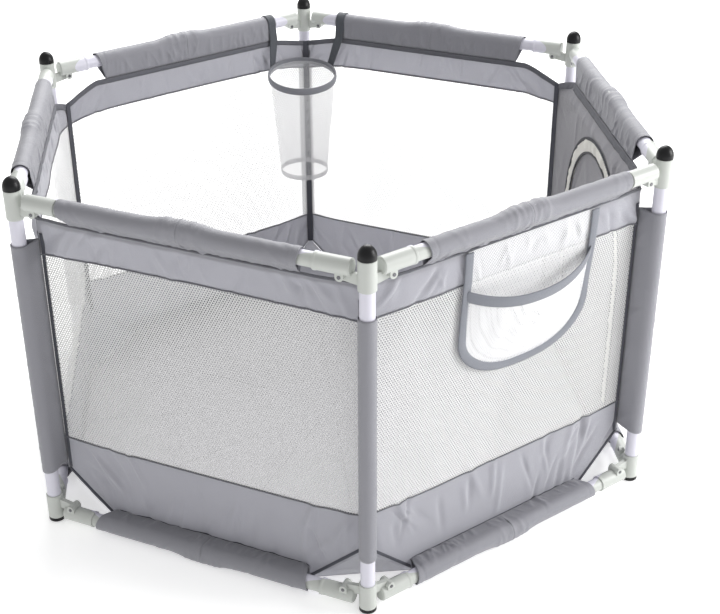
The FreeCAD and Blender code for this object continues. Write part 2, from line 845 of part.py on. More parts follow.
def strap_drop(side):
    """The run of a strap from its loop, over the wall's top edge, down to the hoop."""
    along = math.radians(TURN * side)
    rail_way = FreeCAD.Vector(math.cos(along), math.sin(along), 0)
    inward = FreeCAD.Vector(math.sin(along) * side, -math.cos(along) * side, 0)
    upward = FreeCAD.Vector(0, 0, 1)
    beside = SIZES["socket_end"] + 2 + SIZES["strap_width"] / 2
    axis_point = rail_way * beside + upward * SIZES["rail_height"]
    fold_in = SIZES["wall_inset"] + SIZES["strap_over"]
    fold_down = SIZES["seam_drop"] - SIZES["strap_over"]
    inner = SIZES["rail_tube_radius"] + SIZES["lug_gap"]
    outer = inner + SIZES["strap_thickness"]
    radius = (inner + outer) / 2
    lead = math.sqrt(outer * outer - inner * inner) + SIZES["strap_lead"]
    lean = math.acos(radius / math.hypot(fold_in, fold_down)) - math.atan2(fold_down, fold_in)
    off_loop = inward * math.cos(lean) + upward * math.sin(lean)
    descent = inward * math.sin(lean) - upward * math.cos(lean)
    head = axis_point + off_loop * radius + descent * lead
    fold = axis_point + inward * fold_in - upward * fold_down
    bearing = math.radians(180.0 - SIZES["strap_bearing"] * side)
    radial = FreeCAD.Vector(math.cos(bearing), math.sin(bearing), 0)
    tangent = FreeCAD.Vector(math.sin(bearing) * side, -math.cos(bearing) * side, 0)
    outside = SIZES["hoop_radius"] + SIZES["strap_thickness"]
    centre = FreeCAD.Vector(
        HOOP_REACH.number, -SIZES["hoop_shift"], SIZES["rail_height"] - SIZES["hoop_drop"]
    )
    sag = math.tan(math.radians(SIZES["hoop_slope"])) * outside * math.cos(bearing)
    foot = centre + radial * outside - upward * (sag + SIZES["hoop_band"] / 2)
    sections = [
        crosswise(head, rail_way, off_loop),
        crosswise(fold, rail_way, inward),
        crosswise(foot, tangent, radial * -1.0),
    ]
    item = document.addObject("Part::Feature", "strap_drop")
    item.Shape = Part.makeLoft(sections, True, True)
    return item


def hoop_straps():
    """Two straps, each looped over a rail beside post d and sewn to the hoop."""
    width, thick = size("strap_width"), size("strap_thickness")
    inner = size("rail_tube_radius") + size("lug_gap")
    start = size("socket_end") + 2
    pieces = []
    for side in (1, -1):
        loop = tube("strap_loop", inner + thick, thick, width, (start, 0, RAIL_AXIS[UPPER]), "x")
        turned = document.addObject("Part::Compound", "turned_loop")
        turned.Links = [loop]
        turned.Placement = FreeCAD.Placement(FreeCAD.Vector(), yaw(TURN * side))
        pieces += [turned, strap_drop(side)]
    return pieces


# ---------------------------------------------------------------- assembly


def build():
    tube_piece, cap, foot = post_tube(), domed_cap(), rubber_foot()
    fittings = [corner_fitting(UPPER), corner_fitting(LOWER)]
    pins = pivot_pins()
    halves = {
        (level, forked): rail_half(level, forked)
        for level in (UPPER, LOWER)
        for forked in (True, False)
    }
    soft_trim = rail_sleeves() + [post_sleeve(), corner_gusset()]
    plain_wall, doorway_wall = wall_sheet("plain_wall_sheet"), door_wall()
    for index, letter in enumerate(LETTERS):
        neighbour = LETTERS[(index + 1) % 6]
        at, inward = post_place(index)
        node(f"post_{letter}_tube", [tube_piece], at, inward)
        node(f"post_{letter}_fittings", fittings, at, inward)
        node(f"post_{letter}_pins", pins, at, inward)
        node(f"post_{letter}_cap_and_foot", [cap, foot], at, inward)
        panel = f"{letter}{neighbour}"
        far_at, _ = post_place((index + 1) % 6)
        for level in (UPPER, LOWER):
            rail = f"{LEVEL_NAME[level]}_rail_{panel}"
            node(f"{rail}_near", halves[level, True], at, panel_turn(index))
            node(f"{rail}_far", halves[level, False], far_at, panel_turn(index) + 180.0)
        if panel == "ef":
            node("wall_ef", [doorway_wall], at, panel_turn(index))
            node("wall_ef_sleeves", soft_trim, at, panel_turn(index))
        else:
            node(f"wall_{panel}", [plain_wall] + soft_trim, at, panel_turn(index))
    node("floor", [floor_sheet()])
    door_at, _ = post_place(LETTERS.index("e"))
    node("door_flap", [door_flap()], door_at, panel_turn(LETTERS.index("e")))
    pocket_at, _ = post_place(LETTERS.index("f"))
    node("pocket", [pocket()], pocket_at, panel_turn(LETTERS.index("f")))
    hoop_at, hoop_turn = post_place(LETTERS.index("d"))
    ring, net = hoop_pieces()
    node("hoop", [ring, net], hoop_at, hoop_turn)
    node("hoop_straps", hoop_straps(), hoop_at, hoop_turn)


build()
document.recompute()

for item in document.Objects:
    if "Invalid" in item.State or "Error" in item.State:
        raise RuntimeError(f"{item.Name} did not build: {item.State}")
for item in NODES:
    if item.Shape.isNull() or not item.Shape.isValid() or not item.Shape.Solids:
        raise RuntimeError(f"{item.Label} has no valid solid")

os.makedirs(OUTPUT_FOLDER, exist_ok=True)
for item in NODES:
    item.Shape.exportStep(os.path.join(OUTPUT_FOLDER, f"{item.Label}.step"))
    volume = sum(solid.Volume for solid in item.Shape.Solids)
    print(f"{item.Label}: {len(item.Shape.Solids)} solids, {volume / 1000:.1f} cm3")
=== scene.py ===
# %% [markdown]
# # A folding playpen, made piece by piece
#
# The playpen is a ring of six posts joined by hinged rails, with cloth and mesh hung between them. The hard
# frame comes from the measured model and only gets its finishes here. Everything soft is cut and sewn again
# as real cloth, because cloth is what gives this object its look: bands, mesh, sleeves, tape, a pocket, an
# arched door and a net. Each cloth piece starts as a flat grid cut to size in metres, so its weave keeps
# one scale everywhere.

# %% Start
import math
import random

import bpy
import json
import numpy as np
from mathutils import Matrix, Vector


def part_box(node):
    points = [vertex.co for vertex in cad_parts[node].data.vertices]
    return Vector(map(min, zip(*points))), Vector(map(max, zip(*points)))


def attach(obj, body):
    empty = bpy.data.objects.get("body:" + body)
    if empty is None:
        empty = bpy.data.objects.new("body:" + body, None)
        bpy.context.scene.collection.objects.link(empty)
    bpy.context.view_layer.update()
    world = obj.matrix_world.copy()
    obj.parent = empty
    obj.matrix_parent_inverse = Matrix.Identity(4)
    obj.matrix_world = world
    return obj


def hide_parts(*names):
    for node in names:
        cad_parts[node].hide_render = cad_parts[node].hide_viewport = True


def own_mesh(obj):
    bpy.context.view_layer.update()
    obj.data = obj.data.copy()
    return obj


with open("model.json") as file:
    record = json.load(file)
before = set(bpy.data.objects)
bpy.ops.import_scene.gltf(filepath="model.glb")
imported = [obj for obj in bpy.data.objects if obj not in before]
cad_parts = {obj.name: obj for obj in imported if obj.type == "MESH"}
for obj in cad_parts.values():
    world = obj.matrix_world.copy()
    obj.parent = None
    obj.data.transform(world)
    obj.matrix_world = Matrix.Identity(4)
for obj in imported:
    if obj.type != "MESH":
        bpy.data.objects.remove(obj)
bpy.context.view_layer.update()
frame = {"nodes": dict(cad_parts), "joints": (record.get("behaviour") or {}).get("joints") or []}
bpy.ops.object.select_all(action="DESELECT")

# %% [markdown]
# ## Where things are
#
# Every place is read from the measured model. A panel has its own frame: x runs along the rail from its
# first post, y points out of the playpen, z is up. One pattern then serves all six panels, and each copy
# gets its own folds.

# %% Places
LETTERS = "abcdef"
UP = Vector((0, 0, 1))


def middle_of(node):
    low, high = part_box(node)
    return (low + high) / 2


def flat_point(v):
    return Vector((v.x, v.y, 0))


posts = [flat_point(middle_of(f"post_{letter}_tube")) for letter in LETTERS]
along = [(posts[(i + 1) % 6] - posts[i]).normalized() for i in range(6)]
panel_names = [LETTERS[i] + LETTERS[(i + 1) % 6] for i in range(6)]
SIDE = (posts[1] - posts[0]).length
joints = {j["name"]: j for j in frame["joints"]}
TOP_AXIS = joints["frame_fold"]["pos_m"][2] + 0.015
LOW_AXIS = joints["bottom_ab_near_pivot"]["pos_m"][2] - 0.015
WALL_BOTTOM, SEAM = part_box("wall_bc")[0].z, TOP_AXIS - 0.035
LOW_SEAM = LOW_AXIS + 0.011
INSET = 0.030
CORNER = INSET * math.tan(math.radians(30)) + 0.0015
FAR_CORNER = SIDE - CORNER
SLEEVE = 0.0156
BAND_LOW, BAND_HIGH = 0.164, 0.550
CUT_ALONG, CUT_UP = 0.122, 0.100
print("side", round(SIDE, 4), "rail axes", round(TOP_AXIS, 4), round(LOW_AXIS, 4))


def frame_at(origin, x_way):
    """The turn and shift that takes a piece from its own x, y, z to its place."""
    y_way = UP.cross(x_way)
    m = Matrix.Identity(4)
    for row in range(3):
        m[row][0], m[row][1], m[row][2], m[row][3] = x_way[row], y_way[row], UP[row], origin[row]
    return m


panel_frame = [frame_at(posts[i], along[i]) for i in range(6)]
post_frame = [frame_at(posts[i], -posts[i].normalized()) for i in range(6)]

# %% [markdown]
# ## Weave and mesh patterns
#
# Cloth finishes are drawn from the flat cut, so threads run with the cloth. Three small node groups are
# shared: one turns a flat position into crossing threads, one into rows of round holes, one into uneven
# shade. They hand over only colours, masks and normals, and each finish mixes them its own way.


# %% Shared patterns
def new_group(name, inputs, outputs):
    """An empty node group with its sockets, given as (name, kind, value)."""
    group = bpy.data.node_groups.new(name, "ShaderNodeTree")
    for label, kind, value in inputs:
        socket = group.interface.new_socket(name=label, in_out="INPUT", socket_type="NodeSocket" + kind)
        if value is not None:
            socket.default_value = value
    for label, kind in outputs:
        group.interface.new_socket(name=label, in_out="OUTPUT", socket_type="NodeSocket" + kind)
    return group, group.nodes.new("NodeGroupInput"), group.nodes.new("NodeGroupOutput")


def fill(tree, node, inputs):
    """Gives each named input its value, or joins it to an output of another node."""
    for name, value in inputs.items():
        if isinstance(value, bpy.types.NodeSocket):
            tree.links.new(value, node.inputs[name])
        else:
            node.inputs[name].default_value = value
    return node


def put(tree, kind, inputs=None, **settings):
    """A new shader node with its settings and inputs."""
    node = tree.nodes.new("ShaderNode" + kind)
    for name, value in settings.items():
        setattr(node, name, value)
    return fill(tree, node, inputs or {})


def maths(tree, operation, first, second=None, clamp=False):
    """A Math node wired to sockets or set to plain numbers."""
    given = {place: value for place, value in enumerate((first, second)) if value is not None}
    return put(tree, "Math", given, operation=operation, use_clamp=clamp).outputs[0]


def crossing_threads():
    group, given, out = new_group(
        "crossing threads",
        [("Place", "Vector", None), ("Threads per metre", "Float", 900.0), ("Depth", "Float", 0.3)],
        [("Height", "Float"), ("Normal", "Vector")],
    )
    split = put(group, "SeparateXYZ", {0: given.outputs["Place"]})
    turns = maths(group, "MULTIPLY", given.outputs["Threads per metre"], 2 * math.pi)
    warp = maths(group, "SINE", maths(group, "MULTIPLY", split.outputs["X"], turns))
    weft = maths(group, "SINE", maths(group, "MULTIPLY", split.outputs["Y"], turns))
    height = maths(group, "ADD", maths(group, "MULTIPLY", maths(group, "MULTIPLY", warp, weft), 0.5), 0.5)
    bump = put(group, "Bump", {
        "Distance": 0.0004, "Strength": given.outputs["Depth"], "Height": height,
    })
    fill(group, out, {"Height": height, "Normal": bump.outputs["Normal"]})
    return group


def rows_of_holes():
    group, given, out = new_group(
        "rows of holes",
        [("Place", "Vector", None), ("Pitch", "Float", 0.005), ("Hole", "Float", 0.27)],
        [("Thread", "Float"), ("Height", "Float")],
    )
    scaled = put(group, "VectorMath", {
        0: given.outputs["Place"], "Scale": maths(group, "DIVIDE", 1.0, given.outputs["Pitch"]),
    }, operation="SCALE")
    row = math.sqrt(3)
    nearest = []
    for shift in (0.0, 0.5):
        moved = put(group, "VectorMath", {
            1: (shift, shift * row, 0), 0: scaled.outputs[0],
        }, operation="ADD")
        cell = put(group, "SeparateXYZ", {0: moved.outputs[0]})
        x = maths(group, "SUBTRACT", maths(group, "FRACT", cell.outputs["X"]), 0.5)
        tall = maths(group, "FRACT", maths(group, "DIVIDE", cell.outputs["Y"], row))
        y = maths(group, "MULTIPLY", maths(group, "SUBTRACT", tall, 0.5), row)
        squares = maths(group, "ADD", maths(group, "MULTIPLY", x, x), maths(group, "MULTIPLY", y, y))
        nearest.append(maths(group, "SQRT", squares))
    distance = maths(group, "MINIMUM", nearest[0], nearest[1])
    fill(group, out, {
        "Thread": maths(group, "GREATER_THAN", distance, given.outputs["Hole"]), "Height": distance,
    })
    return group


def uneven_shade():
    group, given, out = new_group(
        "uneven shade",
        [("Place", "Vector", None), ("Colour", "Color", (0.5, 0.5, 0.5, 1)), ("Amount", "Float", 0.08)],
        [("Colour", "Color")],
    )
    cloud = put(group, "TexNoise", {"Scale": 14.0, "Detail": 5.0, "Vector": given.outputs["Place"]})
    offset = maths(group, "SUBTRACT", cloud.outputs[0], 0.5)
    value = maths(group, "ADD", maths(group, "MULTIPLY", offset, given.outputs["Amount"]), 1.0)
    tint = put(group, "VectorMath", {0: given.outputs["Colour"], "Scale": value}, operation="SCALE")
    group.links.new(tint.outputs[0], out.inputs["Colour"])
    return group


THREADS, HOLES, SHADE = crossing_threads(), rows_of_holes(), uneven_shade()
print("shared patterns:", [g.name for g in bpy.data.node_groups])

# %% [markdown]
# ## Finishes
#
# The walls are a gray polyester weave with a faint sheen, bound with darker tape. The open mesh is knitted
# in pale yarn with rows of round holes. Plastic corners are a slightly green white, the painted tubes a
# slightly violet one.


# %% Cloth finishes
def new_finish(name, colour, rough, amount=0.1, space="UV"):
    """A material with an uneven colour. Returns it with its tree, shader and place socket."""
    mat = bpy.data.materials.new(name)
    mat.use_nodes = True
    tree = mat.node_tree
    shader = tree.nodes["Principled BSDF"]
    shader.inputs["Roughness"].default_value = rough
    place = tree.nodes.new("ShaderNodeTexCoord").outputs[space]
    shade = put(tree, "Group", {
        "Colour": (*colour, 1), "Amount": amount, "Place": place,
    }, node_tree=SHADE)
    tree.links.new(shade.outputs["Colour"], shader.inputs["Base Color"])
    return mat, tree, shader, place, shade


def woven(name, colour, rough=0.62, threads=1400.0, depth=0.35, sheen=0.25, amount=0.10, through=0.0):
    mat, tree, shader, place, shade = new_finish(name, colour, rough, amount)
    weave = put(tree, "Group", {
        "Threads per metre": threads, "Depth": depth, "Place": place,
    }, node_tree=THREADS)
    tree.links.new(weave.outputs["Normal"], shader.inputs["Normal"])
    mix = put(tree, "Mix", {"Factor": 0.35}, data_type="RGBA", blend_type="MULTIPLY")
    grey = put(tree, "MapRange", {"To Min": 0.72, "Value": weave.outputs["Height"]})
    fill(tree, mix, {"A": shade.outputs["Colour"], "B": grey.outputs["Result"]})
    fill(tree, shader, {
        "Base Color": mix.outputs["Result"], "Subsurface Weight": through,
        "Subsurface Radius": (1.0, 1.0, 1.0), "Subsurface Scale": 0.0045, "Sheen Weight": sheen,
        "Sheen Roughness": 0.4, "Specular IOR Level": 0.35,
    })
    return mat


def open_mesh(name, colour, inner, pitch, hole, rough=0.7, painted_glow=0.0):
    """Yarn with rows of round holes to see through. The inner side can be painted paler and given a painted
    glow, standing in for light shining through from outside.
    """
    mat, tree, shader, place, shade = new_finish(name, colour, rough, 0.06)
    net = put(tree, "Group", {"Pitch": pitch, "Hole": hole, "Place": place}, node_tree=HOLES)
    tree.links.new(net.outputs["Thread"], shader.inputs["Alpha"])
    bump = put(tree, "Bump", {"Distance": 0.0015, "Strength": 0.8, "Height": net.outputs["Height"]})
    tree.links.new(bump.outputs["Normal"], shader.inputs["Normal"])
    facing = put(tree, "NewGeometry")
    # Front faces are the inner side and take the inner colour, which is painted light where it is paler than
    # the outer side.
    sides = put(tree, "Mix", {
        "A": (*inner, 1), "B": shade.outputs["Colour"], "Factor": facing.outputs["Backfacing"],
    }, data_type="RGBA")
    fill(tree, shader, {
        "Base Color": sides.outputs["Result"], "Emission Color": sides.outputs["Result"],
    })
    # Painted glow: the inner side emits its own colour, standing in for light shining through the mesh from
    # outside.
    through = maths(tree, "MULTIPLY", maths(tree, "SUBTRACT", 1.0, facing.outputs["Backfacing"]), painted_glow)
    tree.links.new(through, shader.inputs["Emission Strength"])
    return mat


gray_weave = woven("gray weave", (0.33, 0.33, 0.36), through=0.85)
sleeve_weave = woven("gray sleeve weave", (0.275, 0.275, 0.303), rough=0.5, sheen=0.25)
floor_weave = woven("gray floor weave", (0.52, 0.51, 0.55), rough=0.7)
door_weave = woven("gray door weave", (0.262, 0.258, 0.280))
dark_tape = woven("dark binding tape", (0.070, 0.072, 0.088), threads=700.0, depth=0.6, sheen=0.1)
seam_tape = woven("gray seam tape", (0.125, 0.127, 0.145), threads=700.0, depth=0.6, sheen=0.1)
fine_piping = woven("gray edge piping", (0.155, 0.157, 0.175), threads=900.0, depth=0.5, sheen=0.1)
blue_binding = woven("bluish gray binding", (0.215, 0.225, 0.255), threads=700.0, depth=0.6)
webbing = woven("dark gray webbing", (0.085, 0.092, 0.105), threads=450.0, depth=0.9, sheen=0.1)
cream_tape = woven("cream zip tape", (0.84, 0.83, 0.77), threads=600.0, depth=0.7, sheen=0.2)
hoop_band = woven("gray hoop binding", (0.23, 0.235, 0.26), threads=700.0, depth=0.6)
# One yarn painted two ways: paler on its inner side (0.92) than outside (0.68), with a painted glow inside,
# as painted light on the far walls and painted shade on the near ones.
wall_mesh = open_mesh("pale wall mesh", (0.68, 0.68, 0.675), (0.92, 0.92, 0.91), 0.0050, 0.30, painted_glow=0.17)
pocket_mesh = open_mesh("white pocket mesh", (0.92, 0.92, 0.93), (0.90, 0.90, 0.90), 0.0032, 0.33)
sheer_net = open_mesh("sheer white net", (0.80, 0.80, 0.81), (0.80, 0.80, 0.81), 0.0020, 0.425)
net_hem = open_mesh("white net hem", (0.68, 0.68, 0.69), (0.68, 0.68, 0.69), 0.0020, 0.30)
print("cloth finishes:", len(bpy.data.materials))

# %% [markdown]
# The hard parts keep their measured shapes. Their finishes are read from the place on the part itself, so
# they stay put when the frame folds. A rail half is one piece of two materials: painted tube, with moulded
# ends.


# %% Hard finishes
def moulded(name, colour, rough, bump_depth, speck=900.0):
    """Moulded plastic, rubber or paint: a fine grain in the surface and a slightly uneven gloss."""
    mat, tree, shader, place, _ = new_finish(name, colour, rough, 0.05, "Object")
    grain = put(tree, "TexNoise", {"Scale": speck, "Detail": 3.0, "Vector": place})
    bump = put(tree, "Bump", {"Strength": bump_depth, "Distance": 0.0003, "Height": grain.outputs[0]})
    tree.links.new(bump.outputs["Normal"], shader.inputs["Normal"])
    gloss = put(tree, "MapRange", {
        "To Min": rough - 0.06, "To Max": rough + 0.08, "Value": grain.outputs[0],
    })
    tree.links.new(gloss.outputs["Result"], shader.inputs["Roughness"])
    return mat


PLASTIC, PAINT = (0.53, 0.55, 0.52), (0.68, 0.67, 0.75)
fitting_white = moulded("moulded white plastic", PLASTIC, 0.42, 0.15)
paint_white = moulded("white powder coat", PAINT, 0.36, 0.25, 1600.0)
black_rubber = moulded("black moulded rubber", (0.005, 0.005, 0.006), 0.36, 0.3, 500.0)
black_rubber.node_tree.nodes["Principled BSDF"].inputs["Specular IOR Level"].default_value = 0.3
dark_steel = moulded("dark plated steel", (0.16, 0.16, 0.17), 0.38, 0.1, 700.0)
dark_steel.node_tree.nodes["Principled BSDF"].inputs["Metallic"].default_value = 0.9


def rail_finish():
    """Plastic at both ends of a rail half and paint between, told apart by the distance from the middle."""
    mat = moulded("painted rail with moulded ends", PAINT, 0.38, 0.2, 1200.0)
    tree = mat.node_tree
    shader = tree.nodes["Principled BSDF"]
    place = tree.nodes["Texture Coordinate"].outputs["Object"]
    flat = put(tree, "VectorMath", {1: (1, 1, 0), 0: place}, operation="MULTIPLY")
    reach = put(tree, "VectorMath", {0: flat.outputs[0]}, operation="LENGTH")
    apothem = SIDE * math.sqrt(3) / 2
    socket_end = math.hypot(apothem, SIDE / 2 - 0.086)
    housing_end = math.hypot(apothem, 0.044)
    outer = maths(tree, "GREATER_THAN", reach.outputs["Value"], socket_end)
    inner = maths(tree, "LESS_THAN", reach.outputs["Value"], housing_end)
    plastic = maths(tree, "MAXIMUM", outer, inner)
    mix = put(tree, "Mix", {
        "B": (*PLASTIC, 1), "Factor": plastic, "A": shader.inputs["Base Color"].links[0].from_socket,
    }, data_type="RGBA")
    tree.links.new(mix.outputs["Result"], shader.inputs["Base Color"])
    return mat


rail_white = rail_finish()
HARD = {"tube": paint_white, "fittings": fitting_white, "pins": dark_steel, "cap_and_foot": black_rubber}
for name, node in frame["nodes"].items():
    ending = next((e for e in HARD if name.startswith("post_") and name.endswith("_" + e)), None)
    if ending or "_rail_" in name:
        node.data.materials.clear()
        node.data.materials.append(HARD[ending] if ending else rail_white)
        bpy.context.view_layer.objects.active = node
        node.select_set(True)
        bpy.ops.object.shade_smooth_by_angle(angle=math.radians(32))
        node.select_set(False)
print("hard pieces finished")

# %% [markdown]
# ## How cloth is cut and laid
#
# A piece of cloth is a flat grid. Its cut gives each point a flat place in metres, and its lay gives that
# point its place on the playpen. Sewn polyester pulls into short straight creases near seams and corners,
# so folds are added as soft ridges along lines, each with its own middle, direction, length and height.


# %% Cutting and folding cloth
def cut_cloth(name, across, down, cut, lay):
    """A grid of cloth. cut(u, v) is the flat place of each point, lay(x, y) the place it ends up."""
    bpy.ops.mesh.primitive_grid_add(x_subdivisions=across, y_subdivisions=down, size=1.0)
    ob = bpy.context.object
    ob.name = ob.data.name = name
    mesh = ob.data
    co = np.empty(len(mesh.vertices) * 3)
    mesh.vertices.foreach_get("co", co)
    u, v = co.reshape(-1, 3)[:, 0] + 0.5, co.reshape(-1, 3)[:, 1] + 0.5
    x, y = cut(u, v)
    corner = np.empty(len(mesh.loops), dtype=np.int32)
    mesh.loops.foreach_get("vertex_index", corner)
    mesh.uv_layers.active.data.foreach_set("uv", np.stack([x, y], 1)[corner].ravel())
    mesh.vertices.foreach_set("co", np.stack(lay(x, y), 1).ravel())
    mesh.update()
    return ob


def thicken(ob, thickness):
    mod = ob.modifiers.new("Thickness", "SOLIDIFY")
    mod.thickness = thickness
    mod.offset = 0.0
    bpy.ops.object.modifier_apply(modifier=mod.name)


def soft_step(t):
    t = np.clip(t, 0, 1)
    return t * t * (3 - 2 * t)


def folds(x, y, lines):
    """Height of the folds at each flat place. A line is (x, y, angle, half length, half width, height)."""
    height = np.zeros_like(x)
    for cx, cy, angle, reach, width, rise in lines:
        dx, dy = x - cx, y - cy
        lengthwise = dx * math.cos(angle) + dy * math.sin(angle)
        crosswise = -dx * math.sin(angle) + dy * math.cos(angle)
        height += rise * np.exp(-((crosswise / width) ** 2)) * soft_step(1.25 - np.abs(lengthwise) / reach)
    return height


def fold_lines(rng, count, x_range, y_range, angles, reach, width, rise):
    """Random folds, each value drawn between its two limits."""
    return [
        (
            rng.uniform(*x_range),
            rng.uniform(*y_range),
            math.radians(rng.uniform(*angles)),
            rng.uniform(*reach),
            rng.uniform(*width),
            rng.uniform(*rise) * rng.choice((-1, 1)),
        )
        for _ in range(count)
    ]


def draw_folds(rng, *kinds):
    """The folds of a piece. Each kind is a count, then limits for x, y, angle, reach, width and height."""
    return [line for kind in kinds for line in fold_lines(rng, *kind)]


def close_seams(ob):
    """Joins the points that lie together, where a grid's two edges meet or shrink to a point."""
    bpy.ops.object.mode_set(mode="EDIT")
    bpy.ops.mesh.select_all(action="SELECT")
    bpy.ops.mesh.remove_doubles(threshold=0.00001)
    bpy.ops.object.mode_set(mode="OBJECT")


def finish_piece(ob, material, body, stands_for=(), squash_panel=None, smooth=True):
    """Gives a piece its finish and the body it moves with, hides the parts it stands for, and gives it its
    own mesh when squash_panel is given.
    """
    ob.data.materials.append(material)
    if smooth:
        bpy.ops.object.shade_smooth()
    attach(ob, body)
    if stands_for:
        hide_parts(*stands_for)
    if squash_panel is not None:
        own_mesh(ob)
    bpy.ops.object.select_all(action="DESELECT")
    return ob


print("cloth helpers ready")

# %% [markdown]
# ## Walls
#
# A wall is three cloths in one plane: a gray band under the rail, open mesh, and a deeper gray band above
# the floor with its lower corners cut away. Folds are worked out once for the whole wall, so the three
# pieces bend together along their seams. The top edge and the band edges sag a little toward the corners.


# %% Wall shape
PULL = 0.013


def wall_folds(seed):
    """Folds that fan out of the corners, then small ones along both bands and wide ones over the mesh."""
    rng = random.Random(seed)
    corner_rise, inner = (0.0018, 0.0042), (0.1, 0.53)
    lines = []
    for start, way in ((CORNER, 1), (FAR_CORNER, -1)):
        span = tuple(sorted((start, start + way * 0.13)))
        lines += draw_folds(
            rng,
            (9, span, (0.555, 0.605), (40 * way, 75 * way), (0.02, 0.045), (0.004, 0.008), corner_rise),
            (9, span, (0.06, 0.15), (95 * way, 135 * way), (0.03, 0.065), (0.004, 0.009), corner_rise),
        )
    return lines + draw_folds(
        rng,
        (22, inner, (0.56, 0.605), (60, 120), (0.015, 0.035), (0.003, 0.008), (0.0012, 0.0030)),
        (20, inner, (0.03, 0.15), (65, 115), (0.03, 0.06), (0.004, 0.009), (0.0015, 0.0036)),
        (6, inner, (0.2, 0.5), (50, 130), (0.08, 0.16), (0.02, 0.04), (0.001, 0.002)),
    )


def sag(x, drop, reach):
    """How far an edge has sunk at x: nothing in the middle, drop at the corner seams."""
    from_corner = np.minimum(x - CORNER, FAR_CORNER - x)
    return drop * np.exp(-np.clip(from_corner, 0, None) / reach)


CORNER_DROP = {"a": 0.004, "b": 0.006, "c": 0.030, "d": 0.012, "e": 0.030, "f": 0.008}
SLEEVE_START = 0.100


def top_edge_of(i):
    """The top edge of panel i: level under the sleeves, then down to the corner seam at either end."""
    near, far = (CORNER_DROP[letter] for letter in panel_names[i])

    def edge(x):
        left = np.clip(1 - (x - CORNER) / (SLEEVE_START - CORNER), 0, 1) ** 1.25
        right = np.clip(1 - (FAR_CORNER - x) / (SLEEVE_START - CORNER), 0, 1) ** 1.25
        return SEAM - 0.0015 - near * left - far * right

    return edge


def high_edge(x):
    return BAND_HIGH - sag(x, 0.012, 0.05)


def low_edge(x):
    return BAND_LOW + sag(x, 0.006, 0.05)


def bottom_edge(x):
    from_corner = np.minimum(x - CORNER, FAR_CORNER - x)
    share = np.clip(from_corner / (CUT_ALONG - CORNER), 0, 1)
    return CUT_UP + (WALL_BOTTOM - CUT_UP) * share


def lean(x, z, start):
    """The rail sleeve pulls the top of the wall outward, from the height start up, but not at the corners."""
    from_corner = np.minimum(x - CORNER, FAR_CORNER - x)
    return PULL * soft_step((z - start) / (SEAM - start)) * soft_step(from_corner / 0.080)


def wall_plane(x, z, lines, start=0.40):
    """The wall's cloth at flat place x, z, with folds that die out at the rail, corners and floor."""
    from_corner = np.minimum(x - CORNER, FAR_CORNER - x)
    held = soft_step((SEAM + 0.002 - z) / 0.034) * soft_step(from_corner / 0.012 + 0.15)
    held = held * soft_step((z - bottom_edge(x)) / 0.025)
    return x, -INSET + lean(x, z, start) + folds(x, z, lines) * held, z


def strip(name, i, lines, low, high, across, down):
    """A wall cloth between two edges, each given as a function of x."""

    def cut(u, v):
        x = CORNER + (FAR_CORNER - CORNER) * u
        return x, low(x) + (high(x) - low(x)) * v

    return cut_cloth(f"{name}_{panel_names[i]}", across, down, cut, lambda x, z: wall_plane(x, z, lines))


def to_place(ob, matrix):
    ob.data.transform(matrix)
    ob.data.update()


def lean_start(i):
    """The door wall only leans above its arched opening."""
    return DOOR_TOP if i == DOOR_PANEL else 0.40


DOOR_TOP = 0.574
wall_lines = {i: wall_folds(40 + i) for i in range(6)}
DOOR_PANEL, POCKET_PANEL = panel_names.index("ef"), panel_names.index("fa")

# %% Bands and mesh
wall_cloths = {}
for i, panel in enumerate(panel_names):
    if i == DOOR_PANEL:
        continue
    lines, body = wall_lines[i], f"post_{panel[0]}"
    band = strip("upper_band", i, lines, high_edge, top_edge_of(i), 220, 20)
    thicken(band, 0.0011)
    to_place(band, panel_frame[i])
    finish_piece(band, gray_weave, body, [f"wall_{panel}"], i)
    mesh = strip("mesh", i, lines, lambda x: low_edge(x) - 0.004, lambda x: high_edge(x) + 0.004, 150, 70)
    to_place(mesh, panel_frame[i])
    finish_piece(mesh, wall_mesh, body, [f"wall_{panel}"], i)
    skirt = strip("lower_band", i, lines, bottom_edge, low_edge, 240, 36)
    thicken(skirt, 0.0011)
    to_place(skirt, panel_frame[i])
    finish_piece(skirt, gray_weave, body, [f"wall_{panel}"], i)
    wall_cloths[i] = (band, mesh, skirt)

# %% [markdown]
# ## Tapes and piping
#
# Every seam is closed with darker tape. Narrow folded tape runs along both edges of the mesh and under the
# rail, and a wider one stands in each inner corner where two walls meet. They follow the same folds as the
# wall. A narrow dark strip beside each corner seam outside is painted shadow, for the shade along the post
# sleeve's edge.


# %% Tapes
def tape(name, i, lines, line_of, width, forward, material=None, start=CORNER, end=FAR_CORNER):
    """A flat tape along a wall line, standing a little off the cloth on one side."""

    def cut(u, v):
        return start + (end - start) * u, (v - 0.5) * width

    def lay(x, across):
        z = line_of(x) + across
        _, y, _ = wall_plane(x, z, lines, lean_start(i))
        swell = 0.0006 * np.cos(across / width * math.pi)
        return x, y + forward + math.copysign(1, forward) * swell, z

    ob = cut_cloth(f"{name}_{panel_names[i]}", 200, 4, cut, lay)
    thicken(ob, 0.0008)
    to_place(ob, panel_frame[i])
    finish_piece(ob, material or dark_tape, f"post_{panel_names[i][0]}", (), i)
    return ob


def flap_shadow_strip(i, middle, word):
    """A narrow dark strip outside the wall, beside a corner seam: painted shadow for the shade along the edge
    of the post sleeve's flap.
    """
    low, high, width = CUT_UP + 0.004, SEAM - 0.034, 0.006

    def lay(x, z):
        _, y, _ = wall_plane(x, z, wall_lines[i], lean_start(i))
        return x, y + 0.0014, z

    def cut(u, v):
        return middle + (u - 0.5) * width, low + (high - low) * v

    ob = cut_cloth(f"flap_shadow_strip_{panel_names[i]}_{word}", 4, 70, cut, lay)
    thicken(ob, 0.0008)
    to_place(ob, panel_frame[i])
    return finish_piece(ob, dark_tape, f"post_{panel_names[i][0]}", (), i)


